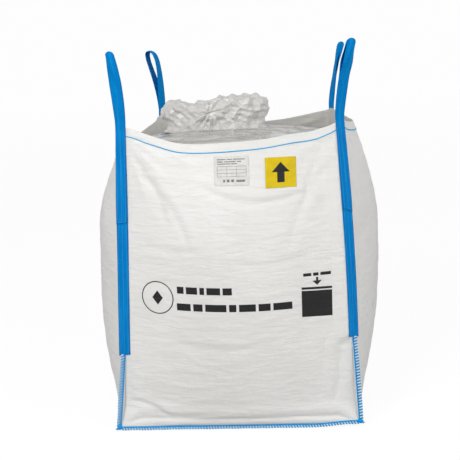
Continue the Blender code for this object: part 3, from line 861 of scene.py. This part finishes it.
def hem_chain():
    """The chain stitch that holds the hem, all round the rim."""
    parts = []
    for side in SIDES:
        points, normals = [], []
        for step in range(161):
            u = 0.006 + 0.988 * step / 160
            z = rim_at(side, u) - HEM_DEPTH
            point, normal = on_fabric(side, u, z, 0.0009)
            points.append(point)
            normals.append(normal)
        parts.append(chain(points, normals, 0.0085, 0.0011, 0.0022, 0.0016))
    points, faces = gather(parts)
    made = new_piece("hem_chain_stitch", points, faces, HEM_LOOK)
    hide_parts("hem_stitching")


def overedge(foot, out_way, normal, run_way, length, reach, slant, wobble):
    """Diagonal thread wraps round the edge of a fin, from foot along run_way."""
    points, normals = [], []
    count = int(length / WRAP_PITCH)
    for k in range(count):
        start = (k + 0.5 - 0.5 * slant) * length / count
        jitter = wobble * noise.noise(Vector((k * 0.37, foot.x * 3, foot.y * 3)))
        route = (
            (0.0015, 0.0018, 0.0), (reach * 0.5, 0.0020, 0.34), (reach - 0.001, 0.0018, 0.66),
            (reach + 0.0008, 0.0, 0.72), (reach - 0.001, -0.0018, 0.78), (0.0015, -0.0018, 0.99),
        )
        for out, side, share in route:
            along = start + slant * share * WRAP_PITCH
            sway = fin_sway(foot, along)
            point = foot + run_way * along + out_way * (out + (jitter if out > 0.01 else 0)) + normal * (side + sway * out / reach)
            points.append(point)
            normals.append((normal * side + out_way * (0.0016 if out > reach else 0.0)).normalized())
    return strand(points, normals, WRAP_WIDE, 0.0013)


def fin_sway(foot, along):
    return 0.0028 * noise.noise(Vector((foot.x * 7, foot.y * 7, along * 14)))


def fin(name, foot, out_way, normal, run_way, length, reach, slant, replaced, rise=0):
    """A sewn edge that stands out: two layers of fabric, wrapped in thread, with a chain at its foot."""
    steps = max(int(length / 0.006), 2)
    grid, cloth = [], []
    for r in range(steps + 1):
        along = length * r / steps
        ragged = 0.0010 * noise.noise(Vector((along * 160, foot.x, foot.y)))
        line, uv = [], []
        for c in range(5):
            out = -0.002 + (reach - 0.0008 + ragged + 0.002) * c / 4
            place = foot + run_way * along
            place.z += rise * foot_lift(place)
            line.append(place + out_way * out + normal * fin_sway(foot, along) * max(out, 0) / reach)
            uv.append((out, along))
        grid.append(line)
        cloth.append(uv)
    points, faces, uvs = shell_of(grid, cloth, 0.0022)
    made = new_piece(name + "_fabric_edge", points, faces, FABRIC_LOOK, coordinates=uvs)
    wraps = overedge(foot, out_way, normal, run_way, length, reach, slant, 0.0010)
    line_points = [foot + run_way * (length * k / 60) + out_way * 0.0030 + normal * 0.0030 for k in range(61)]
    line_normals = [normal] * 61
    foot_chain = chain(line_points, line_normals, 0.0085, 0.0013, 0.0034, 0.0018)
    points, faces = gather([wraps, foot_chain])
    for point in points:
        point.z += rise * foot_lift(point)
    threads = new_piece(name + "_overedge", points, faces, SEAM_LOOK)
    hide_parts(replaced)
    return made, threads


def seams():
    for name in RIM_CORNERS:
        way = facing(name, FIN_TURN)
        low, high = 0.0175, STRAPS[name][2] + 0.002
        foot = corner_point(name, low)
        run = corner_point(name, high) - foot
        run_way = run.normalized()
        normal = way.cross(run_way)
        if normal.dot(facing(name, 0)) < 0:
            normal = -normal
        slant = 1 if name.endswith("right") else -1
        fin(name + "_corner", foot, way, normal, run_way, run.length, 0.0175, slant, name + "_corner_seam")
    for name, toward in (("front_bottom", -1), ("rear_bottom", 1)):
        reach = BASE_HALF[0] - 0.002
        foot = Vector((-reach, toward * (BASE_HALF[1] + 0.0035), BASE_LIFT + 0.001))
        way = Vector((0, toward * 0.0085, -0.0119)).normalized()
        normal = Vector((0, toward, 0)) - way * way.y * toward
        fin(name, foot, way, normal.normalized(), Vector((1, 0, 0)), 2 * reach, 0.0135, 1, name + "_seam", rise=1)


seams()
hem_chain()


def thread_tails():
    """The knotted ends of the seam threads at the base corners, with short frayed tips."""
    for name in RIM_CORNERS:
        way = facing(name, 45)
        side = Vector((-way.y, way.x, 0))
        centre = corner_point(name, 0.0115) + way * 0.0048
        centre.z += foot_lift(centre)
        parts = []
        for tilt, size in ((0.15, 1.0), (0.95, 0.95), (-0.85, 0.97), (1.75, 0.90)):
            leaning = way * math.cos(tilt) + Vector((0, 0, 0.75)) * math.sin(tilt)
            path = []
            for step in range(20):
                angle = math.tau * step / 20
                path.append(centre + (side * math.cos(angle) + leaning * math.sin(angle)) * 0.0080 * size)
            ups = [(point - centre).normalized() for point in path]
            parts.append(strand(path, ups, 0.0085, 0.0058, closed=True))
        for k in range(7):
            spread = (k - 3) * 0.0011
            path, ups = [], []
            for step in range(7):
                share = step / 6
                fan = spread * (0.6 + 1.6 * share ** 2) + 0.0008 * math.sin(share * 7 + k * 1.7)
                lift = 0.0010 * math.cos(share * 6 + k * 2.1) - 0.0035 * share
                path.append(centre + way * (0.005 + (0.010 + 0.001 * (k % 3)) * share) + side * fan + Vector((0, 0, lift)))
                ups.append(Vector((0, 0, 1)))
            parts.append(strand(path, ups, 0.0024, 0.0020))
        points, faces = gather(parts)
        tail = new_piece(name + "_frayed_tail", points, faces, SEAM_LOOK)
        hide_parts(name + "_thread_tail")


thread_tails()


# ---- webbing ----
# how far up each loop its two legs part, how far its webbing curls at the crown, and how long the curl takes
LOOP_FORMS = {
    "front_left": (0.50, 3.3, 0.13),
    "front_right": (0.50, 2.9, 0.10),
    "rear_right": (0.45, 3.0, 0.12),
    "rear_left": (0.0, 0.8, 0.05),
}


def loop_route(name):
    """The free webbing from its inner leg over the crown to its outer leg: (middle, out, across) at each step."""
    height, lean, twist = STRAPS[name][3:]
    outward, across, up = strap_frame(name)
    hinge = corner_point(name, HINGE_HEIGHT) + outward * HINGE_OFF
    middle = (INNER_LEG_OFF + OUTER_LEG_OFF) / 2 - HINGE_OFF
    tilt = Matrix.Rotation(math.radians(lean), 3, across)
    to_side = -math.copysign(1.0, RIM_CORNERS[name][0] * RIM_CORNERS[name][1])
    eye, overhang = LOOP_EYES[name]
    part_from, _, curl_room = LOOP_FORMS[name]
    apart = (OUTER_LEG_OFF - INNER_LEG_OFF) / 2
    crown = height - eye
    straight, bend = 44, 14
    flat = []
    for step in range(straight + 1):
        share = step / straight
        parted = smoothstep((share - part_from) / (1 - part_from))
        flat.append((apart + (eye - apart) * parted, LOOP_START + (crown - LOOP_START) * share))
    for step in range(1, bend):
        angle = math.pi * step / bend
        flat.append((eye * math.cos(angle), crown + eye * math.sin(angle)))
    flat += [(-out, rise) for out, rise in flat[straight::-1]]
    centres, sides = [], []
    for out, rise in flat:
        beside = facing(name, 90) * overhang * (rise / height) ** OVERHANG_POWER
        turn = Matrix.Rotation(math.radians(twist) * to_side * smoothstep(1.2 * rise / height), 3, up)
        centres.append(hinge + beside + tilt @ (outward * middle + up * rise + turn @ (outward * out)))
        sides.append(tilt @ (turn @ across))
    route = []
    for i, (out, rise) in enumerate(flat):
        ahead = centres[min(i + 1, len(flat) - 1)] - centres[max(i - 1, 0)]
        face = sides[i].cross(ahead).normalized()
        side = ahead.cross(face).normalized()
        route.append((centres[i], side, face, smoothstep((rise - (height - curl_room)) / curl_room)))
    return route[::-1]


def strap_route(name):
    """The whole length of webbing: up the inner leg, round the loop and down the outer leg."""
    outward, across, up = strap_frame(name)
    outer_end, inner_end = STRAPS[name][1:3]
    loop = loop_route(name)

    def leg(low, off):
        places = []
        steps = int((LEG_TOP - low) / 0.007)
        for k in range(steps + 1):
            z = low + (LEG_TOP - low) * k / steps
            wave = 0.0004 * noise.noise(Vector((z * 30, off * 900, corner_point(name, 0).x)))
            places.append((corner_point(name, z) + outward * (off + wave), across, outward, 0.0))
        return places

    inner = leg(inner_end, INNER_LEG_OFF)
    outer = leg(outer_end, OUTER_LEG_OFF)
    # the inner leg's outer face is outward; going up, over and down the face turns with the loop
    inner = [(p, a, -f, g) for p, a, f, g in inner]
    return inner + loop + outer[::-1]


# how far the cut ends of the outer and inner legs slope, from the middle to one edge
LEG_SLOPES = {
    "front_left": (0.006, 0.006),
    "front_right": (-0.009, -0.0045),
    "rear_right": (0.003, -0.004),
    "rear_left": (-0.003, 0.004),
}


def strap_mesh(name):
    """The webbing as one ribbon with rounded edges; it curls lengthwise where the loop hung from its hook."""
    route = strap_route(name)
    columns = 10
    points, uvs, rings = [], [], 0
    travelled = 0.0
    before = None
    outer_end, inner_end = STRAPS[name][1:3]
    for i, (centre, across, face, gathered) in enumerate(route):
        if before is not None:
            travelled += (centre - before).length
        before = centre
        above = centre.z - HINGE_HEIGHT + 0.03
        half = WEBBING_WIDE / 2 * (1 - 0.16 * math.exp(-((above / (0.07 if above > 0 else 0.17)) ** 2)))
        curl = LOOP_FORMS[name][1] * gathered
        if i < len(route) / 2:
            slope = LEG_SLOPES[name][1] * (1 - smoothstep((centre.z - inner_end) / 0.06))
        else:
            slope = LEG_SLOPES[name][0] * (1 - smoothstep((centre.z - outer_end) / 0.06))
        outline = [(c / columns * 2 - 1, 1) for c in range(columns + 1)]
        outline += [(1 - c / columns * 2, -1) for c in range(columns + 1)]
        for share, layer in outline:
            if curl > 0.01:
                angle = share * curl / 2
                radius = 2 * half / curl
                across_off, face_off = radius * math.sin(angle), radius * (1 - math.cos(angle)) * -1.0
                normal = face * math.cos(angle) + across * math.sin(angle)
            else:
                across_off, face_off, normal = share * half, 0.0, face
            rounding = 1.0 if abs(share) < 0.98 else 0.55
            place = centre + across * across_off + face * face_off + normal * (layer * WEBBING_THICK / 2 * rounding)
            place.z += slope * share
            points.append(place)
            uvs.append((share * half, travelled))
        rings += 1
    size = 2 * (columns + 1)
    faces = grid_faces(rings, size, closed=True)
    end = (rings - 1) * size
    for first in (0, end):
        for c in range(columns):
            faces.append((first + c, first + c + 1, first + size - 2 - c, first + size - 1 - c))
    strap = new_piece(name + "_strap", points, faces, WEBBING_LOOK, body=None, coordinates=uvs)
    up = strap_frame(name)[2]
    hinge = corner_point(name, HINGE_HEIGHT) + strap_frame(name)[0] * HINGE_OFF
    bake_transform(strap)
    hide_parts(name + "_inner_leg", name + "_outer_leg", name + "_loop")
    return strap


def strap_stitches(name):
    """Rows of lockstitches down the webbing's legs."""
    outward, across, up = strap_frame(name)
    outer_end, inner_end = STRAPS[name][1:3]
    parts = []

    def stitch_row(low, high, off, shift, pitch=0.0064):
        count = int((high - low) / pitch)
        for k in range(count):
            z = low + (high - low) * (k + 0.5) / count
            path, ups = [], []
            for share, rise in ((-0.5, -0.0008), (-0.32, 0.0003), (0.0, 0.0006), (0.32, 0.0003), (0.5, -0.0008)):
                place = corner_point(name, z + share * pitch * 0.72)
                path.append(place + across * shift + outward * (off + WEBBING_THICK / 2 + rise))
                ups.append(outward)
            parts.append(strand(path, ups, 0.0013, 0.0009, sides=5))

    for shift in (-0.0185, 0.0, 0.0185):
        stitch_row(outer_end + 0.006, LEG_TOP - 0.010, OUTER_LEG_OFF, shift)
        stitch_row(inner_end + 0.006, outer_end - 0.004, INNER_LEG_OFF, shift)
    for low, off in ((outer_end + 0.004, OUTER_LEG_OFF), (inner_end + 0.004, INNER_LEG_OFF)):
        for k in range(6):
            shift = -0.0155 + 0.0062 * k
            path = [corner_point(name, low) + across * (shift + s * 0.0045) + outward * (off + WEBBING_THICK / 2 + r)
                    for s, r in ((-0.5, -0.0008), (0.0, 0.0006), (0.5, -0.0008))]
            parts.append(strand(path, [outward] * 3, 0.0013, 0.0009, sides=5))
    points, faces = gather(parts)
    made = new_piece(name + "_strap_stitches", points, faces, STITCH_LOOK)
    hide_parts(name + "_strap_stitching")


for corner_name in RIM_CORNERS:
    strap_mesh(corner_name)
    strap_stitches(corner_name)


# ---- liner ----
def outline(z, inset, columns):
    """The liner's outline at a height, as points round the four sides."""
    ring = []
    for side in SIDES:
        for step in range(columns):
            u = step / columns
            ring.append(side_point(side, u, share_up(side, u, z)))
    middle = sum(ring, Vector()) / len(ring)
    for point in ring:
        away = point - middle
        reach = max(abs(away.x), abs(away.y))
        point.xy = (middle + away * (1 - inset / reach)).xy
    return ring


def film_crease(point, scale, seed):
    """Sharp-edged crumpling, from -1 to 1."""
    warp = noise.noise_vector(point * scale * 0.6 + Vector((seed, 0, 0))) * 0.5
    place = point * scale + warp + Vector((0, seed, 0))
    return 2 * ridged(noise.noise(place)) - 1


def streaks(point):
    """Long soft creases that run across the bag, with a few sharper ones among them."""
    warp = noise.noise(Vector((point.x * 3.0, point.y * 3.0, 4.0))) * 0.05
    y = point.y + warp + 0.10 * point.x
    broad = 0.0065 * noise.noise(Vector((point.x * 2.4, y * 9.0, 1.0)))
    long = 0.0055 * (2 * ridged(noise.noise(Vector((point.x * 3.2, y * 17.0, 6.0)))) ** 2 - 1)
    short = 0.0020 * film_crease(Vector((point.x * 0.55, y, 0.0)), 30.0, 5.0)
    return broad + long * 0.5 + short


def liner_shoulder():
    """The film that closes over the fill, tucked down inside the rim."""
    columns = 110
    edge = outline(LINER_TOP_EDGE, LINER_INSET, columns // 2)
    size = len(edge)
    centre = Vector((*NECK_CENTRE, 0))
    grid = []
    for share in [-0.06, -0.03] + [k / 70 for k in range(71)]:
        ring = []
        for i, point in enumerate(edge):
            away = point - centre
            throat = centre + Vector((away.x, away.y, 0)).normalized() * THROAT_RADIUS
            if share < 0:
                place = point.copy()
                place.z = LINER_TOP_EDGE + share * 0.6
            else:
                place = point.lerp(throat, share)
                place.z = LINER_TOP_EDGE + (LINER_TOP_PEAK - LINER_TOP_EDGE) * math.sin(math.pi / 2 * share)
                fade = smoothstep(share / 0.06) * (1 - 0.6 * smoothstep((share - 0.75) / 0.25))
                place.z += fade * streaks(place)
            ring.append(place)
        grid.append(ring)
    points = [p for ring in grid for p in ring]
    faces = grid_faces(len(grid), size, closed=True)
    made = new_piece("liner_shoulder_film", points, faces, SHOULDER_LOOK)
    thick = made.modifiers.new("thickness", "SOLIDIFY")
    thick.thickness = 0.0006
    thick.offset = 0.0
    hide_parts("liner_top")


def liner_walls():
    """The film against the inside of the fabric, down to the closed base."""
    columns = 40
    rings = []
    for share in (0.03, 0.25, 0.5, 0.75, 0.92, 1.0):
        ring = outline(BASE_LIFT, LINER_FLOOR_INSET, columns)
        for point in ring:
            point.xy *= share
            point.z += 0.006
        rings.append(ring)
    for k in range(61):
        z = 0.055 + (LINER_TOP_EDGE - 0.004 - 0.055) * k / 60
        ring = outline(z, LINER_INSET, columns)
        for point in ring:
            flat = Vector((point.x, point.y, 0)).normalized()
            point -= flat * (0.0025 + 0.0025 * film_crease(point, 14.0, 8.0))
        rings.append(ring)
    size = len(rings[0])
    faces = grid_faces(len(rings), size, closed=True) + [tuple(range(size))]
    made = new_piece("liner_walls_film", [p for ring in rings for p in ring], faces, SHOULDER_LOOK)
    thick = made.modifiers.new("thickness", "SOLIDIFY")
    thick.thickness = 0.0006
    thick.offset = 0.0
    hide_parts("liner_body")


# the neck's section: reach from the throat (0) to its outer edge (1), and height as a share of its crest
NECK_SECTION = (
    (0.97, -0.13), (0.90, -0.04), (0.86, 0.08), (0.88, 0.24), (0.95, 0.42), (1.00, 0.62), (0.985, 0.80),
    (0.90, 0.94), (0.74, 1.00), (0.55, 0.97), (0.36, 0.86), (0.20, 0.68), (0.10, 0.45), (0.06, 0.15), (0.05, -0.04),
)
# how high the neck stands above its base, from its left end to its right end
CRESTS = (
    (-0.31, 0.080), (-0.27, 0.101), (-0.21, 0.102), (-0.175, 0.089), (-0.136, 0.093), (-0.076, 0.106),
    (-0.045, 0.124), (0.03, 0.110), (0.07, 0.118), (0.09, 0.121), (0.13, 0.112),
)
PINCH = (-0.088, 1.142)  # where the front of the neck is gathered to a point


def fold_wave(value):
    """A triangle wave from -1 to 1."""
    return 4 * abs(value - math.floor(value + 0.5)) - 1


def facet(piece, ratio):
    """Turns a piece into flat facets, as crumpled film is."""
    piece.modifiers.new("facets", "DECIMATE").ratio = ratio
    bpy.context.view_layer.update()
    piece.data = bpy.data.meshes.new_from_object(piece.evaluated_get(bpy.context.evaluated_depsgraph_get()))
    piece.modifiers.clear()
    for face in piece.data.polygons:
        face.use_smooth = False


def liner_bunch():
    """The filling neck, scrunched down over the throat."""
    hinge = Vector((*NECK_CENTRE, NECK_BASE))
    around, along = 300, 110
    grid, cloth = [], []
    for r in range(along + 1):
        place = r / along * (len(NECK_SECTION) - 1)
        low = min(int(place), len(NECK_SECTION) - 2)
        share = place - low
        (r0, h0), (r1, h1) = NECK_SECTION[low], NECK_SECTION[low + 1]
        before = NECK_SECTION[max(low - 1, 0)]
        after = NECK_SECTION[min(low + 2, len(NECK_SECTION) - 1)]
        reach = catmull(before[0], r0, r1, after[0], share)
        rise = catmull(before[1], h0, h1, after[1], share)
        line, uv = [], []
        for step in range(around):
            angle = math.tau * step / around
            line.append(hinge + neck_place(angle, reach, rise))
            uv.append((angle * 0.2, place * 0.025))
        grid.append(line)
        cloth.append(uv)
    normals = ring_normals(grid)
    for r, line in enumerate(grid):
        share = r / along
        mouth = smoothstep((share - 0.62) / 0.2)
        fade = smoothstep(share / 0.10) * (1 - 0.6 * mouth)
        for c, point in enumerate(line):
            grid[r][c] = point + normals[r][c] * fade * crumple(point)
    size = around
    points = [p for line in grid for p in line]
    faces = grid_faces(len(grid), size, closed=True)
    made = new_piece("liner_neck_film", points, faces, NECK_LOOK, body=None)
    facet(made, 0.035)
    thick = made.modifiers.new("thickness", "SOLIDIFY")
    thick.thickness = 0.0006
    thick.offset = 0.0
    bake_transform(made)
    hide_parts("liner_neck")


def catmull(a, b, c, d, t):
    """A smooth value between b and c."""
    return b + 0.5 * t * (c - a + t * (2 * a - 5 * b + 4 * c - d + t * (3 * (b - c) + d - a)))


def crest_at(x):
    """The neck's height above its base at x."""
    i = 0
    while i < len(CRESTS) - 2 and x > CRESTS[i + 1][0]:
        i += 1
    (x0, z0), (x1, z1) = CRESTS[i], CRESTS[i + 1]
    share = min(max((x - x0) / (x1 - x0), 0.0), 1.0)
    return catmull(CRESTS[max(i - 1, 0)][1], z0, z1, CRESTS[min(i + 2, len(CRESTS) - 1)][1], share)


def neck_place(angle, reach, rise):
    """A point of the scrunched neck before its folds, from the hinge."""
    lobes = 1 + 0.04 * math.sin(3 * angle + 0.6) + 0.02 * math.sin(7 * angle + 1.0)
    wide = Vector((NECK_HALF[0] * math.cos(angle), NECK_HALF[1] * math.sin(angle), 0)) * lobes
    throat = Vector((math.cos(angle), math.sin(angle), 0)) * THROAT_RADIUS
    pinch = math.exp(-(((angle - PINCH_ANGLE + math.pi) % math.tau - math.pi) / 0.20) ** 2)
    spread = math.exp(-(((angle + 2.15 + math.pi) % math.tau - math.pi) / 0.55) ** 2) * (1 - smoothstep(rise / 0.6))
    place = throat.lerp(wide, reach * (1 - 0.14 * pinch * smoothstep(rise / 0.35) + 0.16 * spread))
    place.z = rise * crest_at(place.x + NECK_CENTRE[0])
    return place


def ring_normals(grid):
    """The normal at each point of a grid whose rows are closed rings."""
    rows, size = len(grid), len(grid[0])
    normals = []
    for r in range(rows):
        line = []
        for c in range(size):
            along = grid[r][(c + 1) % size] - grid[r][c - 1]
            up = grid[min(r + 1, rows - 1)][c] - grid[max(r - 1, 0)][c]
            line.append(along.cross(up).normalized())
        normals.append(line)
    return normals


# sets of crossing folds: direction, folds per metre, steepness of their sides
CRUMPLE_SETS = (
    ((0.82, 0.10, 0.56), 8.0, 0.15), ((-0.45, 0.62, 0.64), 11.0, 0.19), ((0.20, -0.70, 0.68), 14.0, 0.23),
    ((0.93, 0.35, -0.10), 18.0, 0.27), ((-0.71, 0.20, 0.67), 23.0, 0.30), ((0.31, 0.88, 0.36), 30.0, 0.32),
    ((0.55, -0.30, 0.78), 39.0, 0.30), ((-0.20, 0.50, 0.84), 55.0, 0.20),
)


def crumple(point):
    """How far crumpled film stands out at a place: flat facets between sharp folds."""
    warped = point + noise.noise_vector(point * 7.0) * 0.016 + noise.noise_vector(point * 19.0) * 0.004
    total = 0.0
    for direction, rate, steepness in CRUMPLE_SETS:
        total += steepness / (4 * rate) * fold_wave(warped.dot(Vector(direction)) * rate + direction[0])
    away = Vector((point.x - PINCH[0], point.z - PINCH[1]))
    distance = away.length
    if point.y < NECK_CENTRE[1]:
        turn = math.atan2(away.y, away.x) + 5 * noise.noise(point * 6.0) * 0.2
        near = smoothstep(distance / 0.015) * (1 - smoothstep((distance - 0.035) / 0.10))
        total += 0.0042 * near * fold_wave(turn * 9 / math.tau) + 0.0022 * near * fold_wave(turn * 21 / math.tau + 0.3)
        total -= 0.011 * math.exp(-((distance / 0.013) ** 2))
    return total


liner_walls()
liner_shoulder()
liner_bunch()


# ---- labels and printed marks ----
def front_share(x, z):
    """The share across the front at which the fabric reaches x at a height."""
    share = 0.5
    for _ in range(4):
        first, last = (corner(name, share_up("front", share, z)) for name in SIDES["front"][:2])
        share = (x - first.x) / (last.x - first.x)
    return share


def on_front(rows, off):
    """Rows of (x, z) places, laid on the front's fabric off metres outside it."""
    return [[on_fabric("front", front_share(x, z), z, off)[0] for x, z in row] for row in rows]


def block(left, low, right, high, tilt=0.0):
    """Rows of places over a rectangle; tilt raises its right-hand side."""
    columns = max(round((right - left) / MARK_CELL), 2)
    rows = max(round((high - low) / MARK_CELL), 2)
    return [
        [(left + (right - left) * c / columns, low + (high - low) * r / rows + tilt * c / columns)
         for c in range(columns + 1)]
        for r in range(rows + 1)
    ]


def wedge(centre, top, bottom, half):
    """Rows of places over a triangle that points down."""
    return [[(centre + half * share * (c / 4 - 1), bottom + (top - bottom) * share) for c in range(9)]
            for share in (0.02, 0.25, 0.5, 0.75, 1.0)]


def ring(centre, radius, wide):
    """Rows of places round a circle."""
    return [
        [(centre[0] + reach * math.cos(math.tau * k / 90), centre[1] + reach * math.sin(math.tau * k / 90))
         for k in range(91)]
        for reach in (radius - wide / 2, radius + wide / 2)
    ]


def dashes(left, right, low, high, lengths, gap, tilt=0.0):
    """A row of dashes of the given relative lengths."""
    room = right - left - gap * (len(lengths) - 1)
    unit = room / sum(lengths)
    made, x = [], left
    for length in lengths:
        rise = tilt * (x - left) / (right - left)
        made.append(block(x, low + rise, x + unit * length, high + rise, tilt * unit * length / (right - left)))
        x += unit * length + gap
    return made


def marks(name, areas, look, off):
    """Printed areas, as thin skins of ink."""
    parts = []
    for rows in areas:
        grid = on_front(rows, off)
        points, faces, _ = shell_of(grid, [[(0, 0)] * len(grid[0])] * len(grid), INK_THICK)
        parts.append((points, faces))
    points, faces = gather(parts)
    return new_piece(name, points, faces, look)


def label(name, area, look, slot, replaced):
    """A label bonded to the front, with rounded edges."""
    left, low, right, high = area
    rows = block(left, low, right, high)
    grid = on_front(rows, LABEL_OFF)
    points, faces, uvs = shell_of(grid, rows, LABEL_THICK)
    made = new_piece(name, points, faces, look, coordinates=uvs)
    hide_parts(replaced)
    return made


def front_marks():
    """Plain generic marks: a ring, rows of dashes, an arrow and a filled square. No lettering."""
    areas = [ring((-0.273, 0.514), 0.0585, 0.0034)]
    areas += [wedge(-0.273, 0.514, 0.488, 0.020), wedge(-0.273, 0.514, 0.540, 0.020)]
    areas += dashes(-0.198, -0.002, 0.535, 0.560, (3, 5, 2, 6, 4), 0.009, -0.002)
    areas += dashes(-0.201, 0.207, 0.473, 0.499, (6, 4, 9, 3, 7, 5, 8), 0.010, -0.003)
    areas += dashes(0.248, 0.347, 0.581, 0.592, (3, 2, 4), 0.007, -0.003)
    areas += [block(0.2935, 0.560, 0.3005, 0.574), wedge(0.297, 0.562, 0.5455, 0.0165)]
    areas += [block(0.241, 0.434, 0.350, 0.5295, -0.008), block(0.241, 0.5345, 0.350, 0.5425, -0.008)]
    marks("front_printed_marks", areas, INK_LOOK, INK_OFF)


def label_marks():
    top = LABEL_OFF + LABEL_THICK / 2 + 0.0003
    left, low, right, high = GRADE_LABEL
    middle, height = (left + right) / 2, high - low
    areas = [block(middle - 0.0125, low + 0.018, middle + 0.0125, low + 0.055)]
    areas += [[[(middle + 0.031 * (1 - share) * (c / 4 - 1), low + 0.053 + 0.034 * share) for c in range(9)]
               for share in (0.0, 0.25, 0.5, 0.75, 0.97)]]
    marks("grade_label_arrow", areas, INK_LOOK, top)
    left, low, right, high = DATA_LABEL
    wide = right - left
    areas = []
    for k, lengths in enumerate(((5, 3, 7), (4, 8, 3), (9, 4))):
        z = high - 0.012 - 0.0075 * k
        areas += dashes(left + 0.010, right - 0.012 - 0.014 * k, z, z + 0.0028, lengths, 0.004)
    for k in range(4):
        z = low + 0.030 + 0.0115 * k
        areas.append(block(left + 0.010, z, right - 0.010, z + 0.0009))
    for share in (0.08, 0.36, 0.64, 0.92):
        x = left + wide * share
        areas.append(block(x, low + 0.030, x + 0.0009, low + 0.0654))
    marks("data_label_lines", areas, GREY_INK_LOOK, top)
    areas = dashes(left + 0.030, right - 0.052, low + 0.012, low + 0.021, (2, 3, 3), 0.006)
    areas += [block(right - 0.044, low + 0.012, right - 0.014, low + 0.019)]
    marks("data_label_blocks", areas, GREY_INK_LOOK, top)


label("data_label_plate", DATA_LABEL, PAPER_LOOK, "label_paper", "data_label")
label("grade_label_plate", GRADE_LABEL, YELLOW_LOOK, "yellow_label", "grade_label")
front_marks()
label_marks()

bpy.context.view_layer.update()
